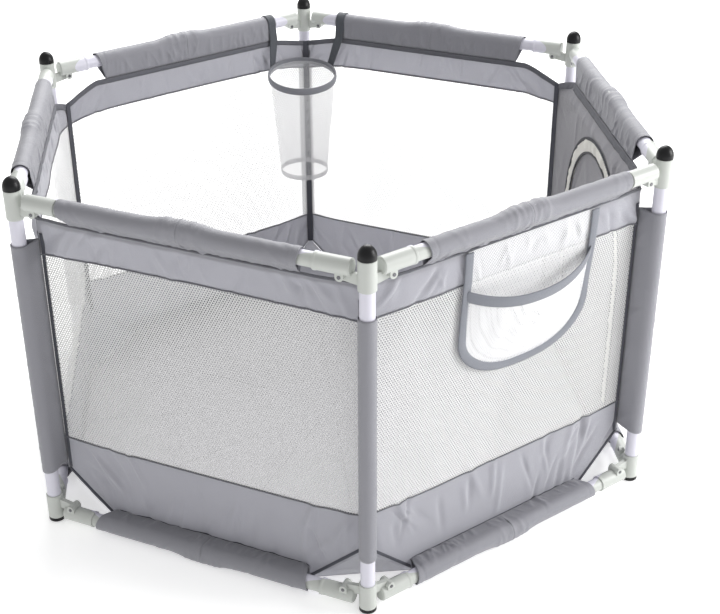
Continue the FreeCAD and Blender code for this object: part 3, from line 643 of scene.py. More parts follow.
def cut_tape(i, word):
    """A narrow tape down the cut lower corner of a wall, where the gusset is sewn on."""
    run = math.hypot(CUT_ALONG - CORNER, CUT_UP - WALL_BOTTOM)
    slope = ((CUT_ALONG - CORNER) / run, (CUT_UP - WALL_BOTTOM) / run)

    def cut(u, v):
        distance, across = run * u, 0.005 * v
        x = CORNER + slope[0] * distance + slope[1] * across
        return (x if word == "near" else SIDE - x), CUT_UP - slope[1] * distance + slope[0] * across

    def lay(x, z):
        _, y, _ = wall_plane(x, z, wall_lines[i])
        return x, y + 0.0013, z

    ob = cut_cloth(f"cut_tape_{panel_names[i]}_{word}", 40, 3, cut, lay)
    thicken(ob, 0.0022)
    to_place(ob, panel_frame[i])
    return finish_piece(ob, dark_tape, f"post_{panel_names[i][0]}", (), i)


def low_seam(x):
    return np.full_like(x, LOW_SEAM)


for i, panel in enumerate(panel_names):
    lines = wall_lines[i]
    top_edge = top_edge_of(i)
    wide_width = 0.014 if panel in ("bc", "ef") else 0.0105

    def under_edge(x):
        return top_edge(x) + 0.001 - wide_width / 2

    wide = tape("top_tape_inside", i, lines, under_edge, wide_width, -0.0014, seam_tape)
    narrow = [
        tape("top_tape_outside", i, lines, lambda x: top_edge(x) - 0.001, 0.0032, 0.0012, seam_tape),
        tape("low_seam_tape", i, lines, low_seam, 0.004, 0.0012, start=CUT_ALONG, end=SIDE - CUT_ALONG),
    ]
    # Dark strips beside both corner seams: painted shadow of the post sleeve's flap.
    narrow += [flap_shadow_strip(i, CORNER + 0.005, "near"), flap_shadow_strip(i, FAR_CORNER - 0.005, "far")]
    narrow += [cut_tape(i, "near"), cut_tape(i, "far")]
    if i == DOOR_PANEL:
        continue
    for side, forward in (("inside", -0.0012), ("outside", 0.0012)):
        tape(f"high_piping_{side}", i, lines, high_edge, 0.0022, forward, fine_piping)
        tape(f"low_piping_{side}", i, lines, low_edge, 0.0022, forward, fine_piping)
    band, mesh, skirt = wall_cloths[i]


# %% Corner tapes and gussets
def corner_tape(i):
    """Tape folded into the inner corner of post i, following the angle between its two walls."""
    reach, half = INSET / math.cos(math.radians(30)), 0.0070
    tall = top_edge_of(i)(np.array([CORNER]))[0] - CUT_UP + 0.004
    rng = random.Random(70 + i)
    rise = (0.0003, 0.0008)
    lines = fold_lines(rng, 8, (-half, half), (0, tall), (-20, 20), (0.01, 0.02), (0.003, 0.006), rise)

    def cut(u, v):
        return (u - 0.5) * 2 * half, tall * v

    def lay(x, y):
        away = np.abs(x)
        groove = 0.0030 * np.exp(-((away / 0.004) ** 2))
        inward = reach + away * 0.5 + 0.0024 + groove + folds(x, y, lines)
        return inward, x * math.sin(math.radians(60)), CUT_UP - 0.002 + y

    ob = cut_cloth(f"corner_tape_{LETTERS[i]}", 12, 90, cut, lay)
    thicken(ob, 0.0009)
    to_place(ob, post_frame[i])
    finish_piece(ob, dark_tape, f"post_{LETTERS[i]}")


def gusset(i):
    """The three-cornered piece that closes a cut lower corner: point up at the seam, base along the floor."""
    reach = INSET / math.cos(math.radians(30)) + 0.0008
    base = CUT_ALONG * 0.5 + INSET * math.cos(math.radians(30))
    half_base = CUT_ALONG * math.sin(math.radians(60)) - INSET * 0.5
    slope = math.hypot(CUT_UP - 0.0055, base - reach)
    rng = random.Random(90 + i)
    lines = draw_folds(
        rng,
        (7, (-0.05, 0.05), (0.01, 0.07), (60, 120), (0.03, 0.06), (0.004, 0.008), (0.001, 0.0025)),
        (4, (-0.06, 0.06), (0.005, 0.03), (-25, 25), (0.03, 0.05), (0.004, 0.007), (0.001, 0.002)),
    )

    def cut(u, v):
        return (u - 0.5) * 2 * half_base * (1 - v), slope * v

    def lay(x, y):
        share = y / slope
        edge = soft_step((half_base * (1 - share) - np.abs(x)) / 0.01) * soft_step(share / 0.1)
        bulge = 0.004 * np.sin(math.pi * share) * edge
        rise = (folds(x, y, lines) + bulge) * edge
        return base + (reach - base) * share - rise, x, 0.0055 + (CUT_UP - 0.0055) * share + rise

    ob = cut_cloth(f"corner_gusset_{LETTERS[i]}", 50, 40, cut, lay)
    close_seams(ob)
    thicken(ob, 0.001)
    to_place(ob, post_frame[i])
    finish_piece(ob, gray_weave, f"post_{LETTERS[i]}")


for i in range(6):
    corner_tape(i)
    gusset(i)
print("corners closed")

# %% [markdown]
# ## Sleeves
#
# Each rail and post is covered by a sleeve: a strip wrapped round the tube and drawn to a point where it is
# sewn to the wall. In section it is a teardrop. The cloth is ruched along the seam, so short folds run up
# from it and die out over the tube. A rail folds in the middle, so its sleeve is cut there and each half
# moves with its own half.


# %% Sleeve section
STEP = 0.0008


def teardrop(radius, tip, count=400):
    """Points round a tube at the middle, from the tip, round the far side and back to the tip."""
    far = math.hypot(*tip)
    base = math.atan2(tip[1], tip[0])
    spread = math.acos(radius / far)
    angles = np.linspace(base + spread, base + 2 * math.pi - spread, count)
    arc = np.stack([radius * np.cos(angles), radius * np.sin(angles)], 1)
    points = np.concatenate([[tip], arc, [tip]])
    run = np.concatenate([[0], np.cumsum(np.linalg.norm(np.diff(points, axis=0), axis=1))])
    return points, run


def wrap(girth_at, points, run):
    """Where a point of the strip lies on the teardrop, and which way is out there."""

    def point(at):
        return np.stack([np.interp(np.clip(at, 0, run[-1]), run, points[:, k]) for k in (0, 1)], 1)

    p, way = point(girth_at), point(girth_at + STEP) - point(girth_at - STEP)
    way /= np.maximum(np.linalg.norm(way, axis=1, keepdims=True), 1e-9)
    return p, np.stack([way[:, 1], -way[:, 0]], 1)


def sleeve_folds(rng, start, end, girth, dense):
    """Short ruches from both seam edges, and a few long shallow creases over the tube."""
    lines = []
    for edge, lean in ((0.0, 1), (girth, -1)):
        for _ in range(dense):
            x = rng.uniform(start, end)
            reach = rng.uniform(0.008, 0.026)
            angle = math.radians(rng.uniform(62, 118))
            height = rng.uniform(0.0006, 0.0017)
            lines.append((x, edge + lean * reach * 0.7, angle, reach, rng.uniform(0.002, 0.005), height))
    over_tube, rise = (girth * 0.25, girth * 0.75), (0.0003, 0.0009)
    return lines + fold_lines(rng, 8, (start, end), over_tube, (15, 165), (0.02, 0.05), (0.003, 0.006), rise)


# %% Rail sleeves
def rail_sleeve(i, level, half, start, end, cut_back):
    """One half of a rail's sleeve, from start to end along the panel. Its free end is cut to the seam."""
    if level == "top":
        height, tip, ruches, up = TOP_AXIS, (PULL - INSET, SEAM - TOP_AXIS), 30, 1
    else:
        height, tip, ruches, up = LOW_AXIS, (-INSET, LOW_SEAM - LOW_AXIS), 22, -1
    points, run = teardrop(SLEEVE, tip)
    girth = run[-1]
    rng = random.Random(200 + 10 * i + (2 if level == "top" else 4) + (half == "far"))
    lines = sleeve_folds(rng, start, end, girth, ruches)
    free, joint, way = (start, end, 1) if half == "near" else (end, start, -1)
    round_it = math.radians(90)
    lines.append((free + way * 0.016, girth / 2, round_it, girth, 0.0016, -0.0007))
    lines.append((joint, girth / 2, round_it, girth / 2, 0.006, 0.0014))
    for away, share, tilt in ((0.012, 0.35, 12), (0.022, 0.6, -9), (0.034, 0.4, 7)):
        angle = math.radians(90 + tilt)
        lines.append((joint - way * away, girth * share, angle, girth * 0.3, 0.004, 0.0011))

    def cut(u, v):
        from_seam = np.minimum(v, 1 - v) * 2
        back = cut_back * (1 - from_seam) ** 1.3
        low, high = (start + back, end + 0 * v) if half == "near" else (start + 0 * v, end - back)
        return low + (high - low) * u, girth * v

    def lay(x, y):
        p, out = wrap(y, points, run)
        from_seam = np.minimum(y, girth - y)
        lift = (folds(x, y, lines) + 0.0004) * soft_step(from_seam / 0.004)
        over_hinge = soft_step((0.070 - np.abs(x - MIDDLE)) / 0.050)
        hinge_side = soft_step(out[:, 1] * up)
        lift = np.maximum(lift, -0.0007) + HINGE_RISE * over_hinge * hinge_side
        return x, p[:, 0] + out[:, 0] * lift, np.maximum(height + p[:, 1] + out[:, 1] * lift, 0.0008)

    ob = cut_cloth(f"{level}_sleeve_{panel_names[i]}_{half}", 96, 48, cut, lay)
    thicken(ob, 0.0009)
    to_place(ob, panel_frame[i])
    finish_piece(ob, sleeve_weave, f"{level}_{panel_names[i]}_{half}")


MIDDLE = SIDE / 2
SNUG_END, BARE_END = 0.089, 0.107
HINGE_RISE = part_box("top_rail_bc_near")[1].z - TOP_AXIS - SLEEVE + 0.0008
print("hinge rise", round(HINGE_RISE, 4))
for i, panel in enumerate(panel_names):
    near, far = (BARE_END, SNUG_END) if panel in ("ab", "bc", "cd") else (SNUG_END, BARE_END)
    rail_sleeve(i, "top", "near", near, MIDDLE, 0.012)
    rail_sleeve(i, "top", "far", MIDDLE, SIDE - far, 0.012)
    rail_sleeve(i, "bottom", "near", 0.108, MIDDLE, 0.016)
    rail_sleeve(i, "bottom", "far", MIDDLE, SIDE - 0.096, 0.020)


# %% Post sleeves
def post_sleeve(i):
    """The sleeve on a post, drawn inward to the corner seam, with a turned hem at each end."""
    low, high = 0.109, 0.568
    tip = (-INSET / math.cos(math.radians(30)) - 0.0005, 0.0)
    points, run = teardrop(0.0143, tip)
    girth, tall = run[-1], high - low
    rng = random.Random(400 + i)
    middle = (girth * 0.3, girth * 0.7)
    lines = draw_folds(
        rng,
        (9, (0, tall), middle, (60, 120), (0.01, 0.02), (0.002, 0.004), (0.0003, 0.0008)),
        (12, (0, tall), (0.0, 0.02), (20, 70), (0.015, 0.03), (0.002, 0.005), (0.0006, 0.0013)),
        (12, (0, tall), (girth - 0.02, girth), (110, 160), (0.015, 0.03), (0.002, 0.005), (0.0006, 0.0013)),
    )
    for hem in (0.014, tall - 0.014):
        lines.append((hem, girth / 2, math.radians(90), girth, 0.0014, -0.0006))

    def cut(u, v):
        from_seam = np.minimum(v, 1 - v) * 2
        rise = 0.010 * (1 - from_seam) ** 1.5
        return rise * (1 - u) + tall * u, girth * v

    def lay(x, y):
        p, out = wrap(y, points, run)
        lift = (folds(x, y, lines) + 0.0003) * soft_step(np.minimum(y, girth - y) / 0.004)
        lift = np.maximum(lift, -0.0006)
        return -(p[:, 0] + out[:, 0] * lift), p[:, 1] + out[:, 1] * lift, low + x

    ob = cut_cloth(f"post_sleeve_{LETTERS[i]}", 110, 44, cut, lay)
    thicken(ob, 0.0009)
    to_place(ob, post_frame[i])
    stands = ["wall_ef_sleeves"] if LETTERS[i] == "e" else []
    finish_piece(ob, sleeve_weave, f"post_{LETTERS[i]}", stands)


for i in range(6):
    post_sleeve(i)
print("post sleeves done")

# %% [markdown]
# ## Floor
#
# The floor is one hexagon of gray cloth with cut corners. When the frame folds it is carried up by the
# lower rails, so it is laid as twelve sectors, two to a panel, which meet edge to edge and each move with
# their own rail half.


# %% Floor sectors
FLOOR_REACH = 0.42
whole_floor = (-FLOOR_REACH, FLOOR_REACH)
floor_lines = draw_folds(
    random.Random(500),
    (26, whole_floor, whole_floor, (0, 180), (0.05, 0.16), (0.008, 0.016), (0.0008, 0.0022)),
)


def floor_sector(i, half):
    """Half a panel's share of the floor, from the middle of the playpen out to the rail."""
    centre = (MIDDLE, -SIDE * math.sqrt(3) / 2)
    cut_point = (CUT_ALONG, -INSET)
    radial = CUT_ALONG * 0.5 + INSET * math.cos(math.radians(30))
    corner_middle = (radial * 0.5, -radial * math.cos(math.radians(30)))
    edge = [corner_middle, cut_point, (MIDDLE, -INSET)]
    if half == "far":
        edge = [(SIDE - px, py) for px, py in edge]
    stops = [0.0, 0.32, 1.0]
    turn = panel_frame[i]

    def cut(u, v):
        ex = np.interp(u, stops, [p[0] for p in edge])
        ey = np.interp(u, stops, [p[1] for p in edge])
        return centre[0] + (ex - centre[0]) * v, centre[1] + (ey - centre[1]) * v

    def lay(x, y):
        wx = turn[0][0] * x + turn[0][1] * y + turn[0][3]
        wy = turn[1][0] * x + turn[1][1] * y + turn[1][3]
        away = np.hypot(wx, wy)
        rise = np.abs(folds(wx, wy, floor_lines)) * soft_step((FLOOR_REACH - away) / 0.06)
        return x, y, 0.0040 + rise

    ob = cut_cloth(f"floor_{panel_names[i]}_{half}", 34, 70, cut, lay)
    close_seams(ob)
    thicken(ob, 0.0010)
    to_place(ob, panel_frame[i])
    finish_piece(ob, floor_weave, f"bottom_{panel_names[i]}_{half}", ["floor"])
    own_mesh(ob)


for i in range(6):
    for half in ("near", "far"):
        floor_sector(i, half)
print("floor laid")

# %% [markdown]
# ## The door wall
#
# One wall is plain gray cloth with an arched opening. A cream band is zipped round it, and a gray panel
# fills the middle and folds out and down on its bottom edge. The zips are two lines of small teeth on dark
# tape.

# %% Door shape
door_low, door_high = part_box("door_flap")
door_middle = panel_frame[DOOR_PANEL].inverted() @ ((door_low + door_high) / 2)
RING_IN, RING_WIDE = 0.172, 0.028
RING_OUT = RING_IN + RING_WIDE
DOOR_X, DOOR_Z, DOOR_BOTTOM = door_middle.x, door_high.z - RING_IN, door_low.z
DOOR_LEG = DOOR_Z - DOOR_BOTTOM
ARCH_ARC = math.pi * (RING_IN + RING_OUT) / 2
ARCH_LENGTH = ARCH_ARC + 2 * DOOR_LEG
HINGE_OUT, HINGE_ROOM = 0.0006, 0.0012
DOOR_FOLDS = {
    61: (26, (0.03, 0.60), (0.30, 0.60), (60, 120), (0.03, 0.09), (0.005, 0.012), (0.0008, 0.0022)),
    62: (16, (0.03, 0.14), (0.12, 0.58), (-25, 25), (0.02, 0.05), (0.006, 0.012), (0.001, 0.002)),
    63: (12, (0.55, 0.60), (0.12, 0.58), (-25, 25), (0.02, 0.05), (0.006, 0.012), (0.001, 0.002)),
    64: (16, (0.1, 0.53), (0.03, 0.09), (70, 110), (0.02, 0.04), (0.005, 0.010), (0.001, 0.002)),
    65: (10, (0.08, 0.55), (0.58, 0.60), (60, 120), (0.012, 0.03), (0.003, 0.007), (0.0006, 0.0016)),
}
door_lines = [line for seed, kind in DOOR_FOLDS.items() for line in draw_folds(random.Random(seed), kind)]
print("door middle", round(DOOR_X, 4), round(DOOR_Z, 4), "bottom", round(DOOR_BOTTOM, 4))


def arch_reach(angle, radius, leg_length):
    """From the middle of the arch out to its edge: round above, straight sides and a level bottom below."""
    up, side = np.sin(angle), np.abs(np.cos(angle))
    leg = np.minimum(radius / np.maximum(side, 1e-6), leg_length / np.maximum(-up, 1e-6))
    return np.where(up >= 0, radius, leg)


def arch_line(share, radius):
    """A point on the arch line of this radius, from its foot near post f (0) over to the other (1)."""
    run = share * ARCH_LENGTH
    angle = np.clip((run - DOOR_LEG) / ARCH_ARC, 0, 1) * math.pi
    below = np.maximum(DOOR_LEG - run, 0) + np.maximum(run - DOOR_LEG - ARCH_ARC, 0)
    return DOOR_X + radius * np.cos(angle), DOOR_Z + radius * np.sin(angle) - below


def arch_place(x, z):
    """How far a point of the door is along the arch and out from its middle line."""
    angle = np.arctan2(np.maximum(z - DOOR_Z, 0), x - DOOR_X)
    along_it = angle * RING_IN + np.minimum(z - DOOR_Z, 0) * np.sign(x - DOOR_X)
    out = np.where(z >= DOOR_Z, np.hypot(x - DOOR_X, z - DOOR_Z), np.abs(x - DOOR_X))
    return along_it, out


# %% Door wall cloth
def door_outline():
    """The wall's outer edge from post f round over the bottom, with every corner in it."""
    top_edge = top_edge_of(DOOR_PANEL)
    xs = np.concatenate([
        np.linspace(FAR_CORNER, CORNER, 60),
        np.full(30, CORNER),
        np.linspace(CORNER, CUT_ALONG, 14),
        np.linspace(CUT_ALONG, SIDE - CUT_ALONG, 50),
        np.linspace(SIDE - CUT_ALONG, FAR_CORNER, 14),
        np.full(30, FAR_CORNER),
    ])
    near_top, far_top = top_edge(np.array([CORNER, FAR_CORNER]))
    zs = np.concatenate([
        top_edge(xs[:60]),
        np.linspace(near_top, CUT_UP, 30),
        bottom_edge(xs[90:168]),
        np.linspace(CUT_UP, far_top, 30),
    ])
    keep = np.concatenate([[True], np.hypot(np.diff(xs), np.diff(zs)) > 1e-6])
    return xs[keep], zs[keep]


def door_wall():
    xs, zs = door_outline()
    run = np.concatenate([[0], np.cumsum(np.hypot(np.diff(xs), np.diff(zs)))])
    total = run[-1]

    def cut(u, v):
        ox, oz = np.interp(u * total, run, xs), np.interp(u * total, run, zs)
        angle = np.arctan2(oz - DOOR_Z, ox - DOOR_X)
        reach = arch_reach(angle, RING_OUT, DOOR_LEG + HINGE_ROOM)
        ix, iz = DOOR_X + reach * np.cos(angle), DOOR_Z + reach * np.sin(angle)
        share = v**1.6
        return ix + (ox - ix) * share, iz + (oz - iz) * share

    def lay(x, z):
        _, y, _ = wall_plane(x, z, door_lines, DOOR_TOP)
        edge = np.maximum(arch_place(x, z)[1] - RING_OUT, DOOR_BOTTOM - z)
        return x, -INSET + (y + INSET) * soft_step(0.25 + edge / 0.015), z

    ob = cut_cloth("door_wall_ef", 420, 26, cut, lay)
    close_seams(ob)
    thicken(ob, 0.0011)
    to_place(ob, panel_frame[DOOR_PANEL])
    finish_piece(ob, door_weave, "post_e", ["wall_ef"], DOOR_PANEL)


door_wall()

# %% Door panel
FLAP_GAP = 0.0028
flap_wide, flap_high = (DOOR_X - 0.15, DOOR_X + 0.15), (DOOR_Z - 0.15, DOOR_Z + 0.15)
FLAP_FOLDS = {
    66: (16, flap_wide, flap_high, (55, 125), (0.04, 0.12), (0.008, 0.018), (0.0008, 0.002)),
    67: (10, flap_wide, (0.15, 0.30), (50, 130), (0.03, 0.09), (0.006, 0.014), (0.0008, 0.0018)),
}
flap_lines = [line for seed, kind in FLAP_FOLDS.items() for line in draw_folds(random.Random(seed), kind)]


def flap_cut(u, v):
    angle = u * 2 * math.pi
    reach = arch_reach(angle, RING_IN - FLAP_GAP, DOOR_LEG - HINGE_ROOM) * (1 - (1 - v) ** 1.3)
    return DOOR_X + reach * np.cos(angle), DOOR_Z + reach * np.sin(angle)


def flap_lay(x, z):
    border = np.minimum(RING_IN - arch_place(x, z)[1], z - DOOR_BOTTOM)
    return x, -INSET + folds(x, z, flap_lines) * soft_step(border / 0.02), z


flap = cut_cloth("door_panel", 240, 50, flap_cut, flap_lay)
close_seams(flap)
thicken(flap, 0.0010)
to_place(flap, panel_frame[DOOR_PANEL])
finish_piece(flap, door_weave, "door_flap", ["door_flap"], DOOR_PANEL)
print("door wall and panel")


# %% Cream band and zips
def arch_ribbon(name, inner, outer, place_y, along_steps, across, material, thick=0.0010):
    """A flat band of cloth that follows the arch from foot to foot."""

    def cut(u, v):
        return arch_line(u, inner + (outer - inner) * v)

    ob = cut_cloth(name, along_steps, across, cut, lambda x, z: (x, place_y(x, z), z))
    thicken(ob, thick)
    to_place(ob, panel_frame[DOOR_PANEL])
    return finish_piece(ob, material, "post_e", (), DOOR_PANEL)


ripples = [(23, 0.4, 1.0), (41, 2.1, 0.8), (67, 4.0, 0.5), (13, 1.2, 0.9)]


def cream_y(side):
    def place(x, z):
        run, out = arch_place(x, z)
        share = np.clip((out - RING_IN) / RING_WIDE, 0, 1)
        crown = np.sin(math.pi * share) ** 0.7
        ripple = sum(np.sin(n * run / RING_IN + p) * a for n, p, a in ripples) * 0.0014
        return -INSET + side * (0.0012 + (0.0018 + ripple) * crown)

    return place


TOOTH_PITCH, TOOTH_LEAN = 0.0034, 0.0007


def zip_teeth(name, radius, side):
    """A line of small plastic teeth along the arch, leaning alternately to each side of the zip."""
    count = int(ARCH_LENGTH / TOOTH_PITCH)
    bpy.ops.mesh.primitive_cube_add(size=1.0)
    ob = bpy.context.object
    ob.name = ob.data.name = name
    cube = np.array([v.co for v in ob.data.vertices])
    faces = [tuple(p.vertices) for p in ob.data.polygons]
    tooth = cube * np.array([0.0030, 0.0016, 0.0019])
    points, polygons = [], []
    for k in range(count):
        share = (k + 0.5) / count
        x0, z0 = arch_line(share, radius)
        x1, z1 = arch_line(share, radius + 0.01)
        out_x, out_z = (x1 - x0) / 0.01, (z1 - z0) / 0.01
        away = tooth[:, 0] + (TOOTH_LEAN if k % 2 else -TOOTH_LEAN)
        x = x0 + away * out_x - tooth[:, 2] * out_z
        z = z0 + away * out_z + tooth[:, 2] * out_x
        y = -INSET + side * 0.0034 + tooth[:, 1]
        points += list(np.stack([x, y, z], 1))
        polygons += [tuple(v + 8 * k for v in f) for f in faces]
    ob.data.clear_geometry()
    ob.data.from_pydata([tuple(p) for p in points], [], polygons)
    ob.data.update()
    to_place(ob, panel_frame[DOOR_PANEL])
    return finish_piece(ob, zip_nylon, "post_e", (), DOOR_PANEL, smooth=False)


zip_nylon = moulded("dark nylon zip teeth", (0.045, 0.046, 0.055), 0.35, 0.1, 900.0)
for side, word in ((1, "outside"), (-1, "inside")):
    inner, outer = RING_IN + 0.0005, RING_OUT + 0.001
    cream = arch_ribbon(f"cream_band_{word}", inner, outer, cream_y(side), 420, 12, cream_tape)
    for edge, radius, width in (("outer", RING_OUT, 0.0070), ("inner", RING_IN, 0.0045)):

        def flat(x, z):
            return np.full_like(x, -INSET + side * 0.0024)

        low, high = radius - width / 2, radius + width / 2
        arch_ribbon(f"zip_tape_{word}_{edge}", low, high, flat, 300, 3, dark_tape)
        zip_teeth(f"zip_teeth_{word}_{edge}", radius, side)
print("cream bands and zips")


# %% Door hinge piping
def hinge_piping():
    """A round piping along the door's bottom edge, on the line that the panel folds about."""
    length, radius = 2 * (RING_OUT + 0.001), 0.0021
    bpy.ops.mesh.primitive_cylinder_add(vertices=16, radius=radius, depth=length, end_fill_type="NGON")
    ob = bpy.context.object
    ob.name = ob.data.name = "door_hinge_piping"
    bpy.ops.object.mode_set(mode="EDIT")
    bpy.ops.mesh.select_all(action="SELECT")
    bpy.ops.mesh.bevel(offset=0.0006, segments=2, affect="EDGES")
    bpy.ops.object.mode_set(mode="OBJECT")
    ob.data.transform(Matrix.Rotation(math.pi / 2, 4, "Y"))
    points = np.array([v.co for v in ob.data.vertices])
    cell = np.floor((points[:, 0] + length / 2) / 0.004)
    points[:, 2] += 0.0001 * np.sin(cell)
    ob.data.vertices.foreach_set("co", points.ravel())
    ob.data.transform(Matrix.Translation((DOOR_X, -INSET + HINGE_OUT, DOOR_BOTTOM)))
    to_place(ob, panel_frame[DOOR_PANEL])
    finish_piece(ob, dark_tape, "post_e", (), DOOR_PANEL)


hinge_piping()
print("door hinge piping")

# %% [markdown]
# ## The pocket
#
# A mesh pouch hangs outside one wall. A flat mesh back goes up to the rail, the front is fuller cloth, so
# it bellies out at the top. Gray binding runs down one side, round the bottom and up the other, and across
# the sagging rim.

# %% Pocket shape
HALF, POCKET_MID = 0.138, 0.284
ROUND_Z, BOTTOM_Z, RIM_Z = 0.442, 0.362, 0.530
pocket_lines = wall_lines[POCKET_PANEL]
FRONT = 0.0035


def pocket_bottom(x):
    across = np.clip(np.abs(x - POCKET_MID) / HALF, 0, 1)
    return ROUND_Z - (ROUND_Z - BOTTOM_Z) * np.sqrt(np.clip(1 - across**2.3, 0, 1))


def pocket_rim(x):
    across = np.clip(np.abs(x - POCKET_MID) / HALF, 0, 1)
    return RIM_Z - 0.026 * (1 - across**2.4)


def belly(x, z):
    """How far the pouch stands off the wall."""
    across = np.clip(np.abs(x - POCKET_MID) / HALF, 0, 1)
    rim, low = pocket_rim(x), pocket_bottom(x)
    down = np.clip((rim - z) / np.maximum(rim - low, 1e-6), 0, 1)
    return 0.036 * (1 - across**2) ** 0.85 * (1 - down**1.8)


def pocket_back(x, z):
    _, y, _ = wall_plane(x, z, pocket_lines)
    return y + FRONT


def pocket_front(x, z):
    full = belly(x, z)
    pleat = 0.0009 * np.sin((x - POCKET_MID) * 150 + 6 * z)
    pleat = pleat * soft_step(full / 0.02) * soft_step((pocket_rim(x) - z) / 0.03)
    return pocket_back(x, z) + 0.001 + full + pleat


def pocket_cloth(name, across, down, high, y_of):
    """Pocket mesh from the bottom curve up to high(x), standing y_of(x, z) off the wall."""

    def cut(u, v):
        x = POCKET_MID + HALF * (2 * u - 1)
        low = pocket_bottom(x)
        return x, low + (high(x) - low) * v

    ob = cut_cloth(name, across, down, cut, lambda x, z: (x, y_of(x, z), z))
    to_place(ob, panel_frame[POCKET_PANEL])
    return finish_piece(ob, pocket_mesh, "post_f", ["pocket"], POCKET_PANEL)


back = pocket_cloth("pocket_back", 100, 70, lambda x: np.full_like(x, SEAM - 0.004), pocket_back)
front = pocket_cloth("pocket_front", 120, 60, pocket_rim, pocket_front)
print("pouch from", round(BOTTOM_Z, 3), "up to", round(RIM_Z, 3))


# %% Pocket binding
def binding(name, path, wide_way, width, steps):
    """A flat tape sewn on the pocket. path(t) is its middle, wide_way(t) the way its width runs."""
    swell, thick = 0.0012, 0.0012
    t = np.linspace(0, 1, 600)
    mid = np.stack(path(t), 1)
    run = np.concatenate([[0], np.cumsum(np.linalg.norm(np.diff(mid, axis=0), axis=1))])
    total = run[-1]

    def on_path(share):
        return np.stack([np.interp(np.clip(share, 0, 1), t, mid[:, k]) for k in range(3)], 1)

    def lay(x, y):
        share = np.interp(x, run, t)
        p, way = on_path(share), on_path(share + 0.004) - on_path(share - 0.004)
        way /= np.maximum(np.linalg.norm(way, axis=1, keepdims=True), 1e-9)
        wide = np.stack(wide_way(share), 1)
        wide -= way * np.sum(wide * way, 1, keepdims=True)
        wide /= np.maximum(np.linalg.norm(wide, axis=1, keepdims=True), 1e-9)
        face = np.cross(wide, way)
        lift = swell * (1 - (2 * y / width) ** 2)
        q = p + wide * y[:, None] + face * lift[:, None]
        return q[:, 0], q[:, 1], q[:, 2]

    ob = cut_cloth(name, steps, 6, lambda u, v: (total * u, width * (v - 0.5)), lay)
    thicken(ob, thick)
    to_place(ob, panel_frame[POCKET_PANEL])
    finish_piece(ob, blue_binding, "post_f", (), POCKET_PANEL)


def u_path(t):
    """Down one side, round the bottom and up the other."""
    top = SEAM - 0.004
    angle = np.linspace(math.pi, 2 * math.pi, 200)
    x = np.concatenate([[POCKET_MID - HALF], POCKET_MID + HALF * np.cos(angle), [POCKET_MID + HALF]])
    low = pocket_bottom(x[1:-1])
    z = np.concatenate([[top], low, [top]])
    run = np.concatenate([[0], np.cumsum(np.hypot(np.diff(x), np.diff(z)))])
    run /= run[-1]
    px, pz = np.interp(t, run, x), np.interp(t, run, z)
    return px, pocket_back(px, pz) + 0.0028, pz


def u_wide(t):
    px, _, pz = u_path(np.clip(t + 0.004, 0, 1))
    qx, _, qz = u_path(np.clip(t - 0.004, 0, 1))
    return qz - pz, np.zeros_like(t), px - qx


def rim_path(t):
    x = POCKET_MID + HALF * (2 * t - 1)
    z = pocket_rim(x)
    return x, pocket_front(x, z) + 0.0016, z


def rim_wide(t):
    return np.zeros_like(t), np.full_like(t, 0.12), np.ones_like(t)


binding("pocket_binding", u_path, u_wide, 0.017, 260)
binding("pocket_rim", rim_path, rim_wide, 0.020, 200)
print("pocket bound")

# %% [markdown]
# ## The hoop, its net and its straps
#
# A small ring hangs inside one corner from two dark webbing straps looped over the rails. A stiff band is
# bound in gray cloth, and a sheer net narrows below it to an open end with a hem.

# %% Hoop
hoop_low, hoop_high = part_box("hoop")
D = LETTERS.index("d")
HOOP_R, HOOP_BAND, NET_END = 0.075, 0.014, 0.052
to_d = post_frame[D].inverted()
hoop_centre = to_d @ Vector((*((hoop_low + hoop_high) / 2).xy, 0))
HOOP_X, HOOP_Y, HOOP_Z, HOOP_SLOPE = hoop_centre.x, hoop_centre.y, TOP_AXIS - 0.095, math.radians(8)
NET_LOW = HOOP_Z - 0.229
print("hoop at", round(HOOP_X, 4), round(HOOP_Y, 4), "box", [round(v, 4) for v in (*hoop_low, *hoop_high)])


def round_the_hoop(name, across, tall, radius_of, z_of, girth, thick, material, stands=()):
    """Cloth sewn into a tube round the hoop. radius_of and z_of are given its height, from 0 to 1."""

    def cut(u, v):
        return girth * u, tall * v

    def lay(x, y):
        angle, share = x / girth * 2 * math.pi, y / tall
        radius = radius_of(share, angle)
        reach = radius * np.cos(angle)
        return HOOP_X + reach, HOOP_Y + radius * np.sin(angle), z_of(share, reach)

    ob = cut_cloth(name, 140, across, cut, lay)
    close_seams(ob)
    if thick:
        thicken(ob, thick)
    to_place(ob, post_frame[D])
    return finish_piece(ob, material, "post_d", stands)


def tilted(base):
    return lambda share, reach: base(share) - math.tan(HOOP_SLOPE) * reach


band = round_the_hoop(
    "hoop_band", 10, HOOP_BAND,
    lambda s, a: HOOP_R - 0.0012 + 0.0012 * np.sin(math.pi * s) + 0 * a,
    tilted(lambda s: HOOP_Z + HOOP_BAND * (s - 0.5)),
    2 * math.pi * HOOP_R, 0.0026, hoop_band, ["hoop"],
)


def net_radius(share, angle):
    width = NET_END + (HOOP_R - 0.0028 - NET_END) * share
    drape = 0.0016 * np.sin(7 * angle + 3 * share) + 0.0010 * np.sin(11 * angle - 5 * share)
    return width + drape * np.sin(math.pi * np.clip(share * 1.1, 0, 1))


def net_height(share, reach):
    return NET_LOW + (HOOP_Z - NET_LOW) * share - math.tan(HOOP_SLOPE) * reach * share**1.5


net_girth = 2 * math.pi * 0.0635
net = round_the_hoop("hoop_net", 70, 0.23, net_radius, net_height, net_girth, 0, sheer_net, ["hoop"])
hem = round_the_hoop(
    "hoop_net_hem", 6, 0.012,
    lambda s, a: NET_END + 0.0009 + 0.0008 * np.sin(math.pi * s) + 0 * a,
    lambda s, r: NET_LOW + 0.012 * s + 0 * r,
    2 * math.pi * NET_END, 0, net_hem,
)
print("hoop and net")


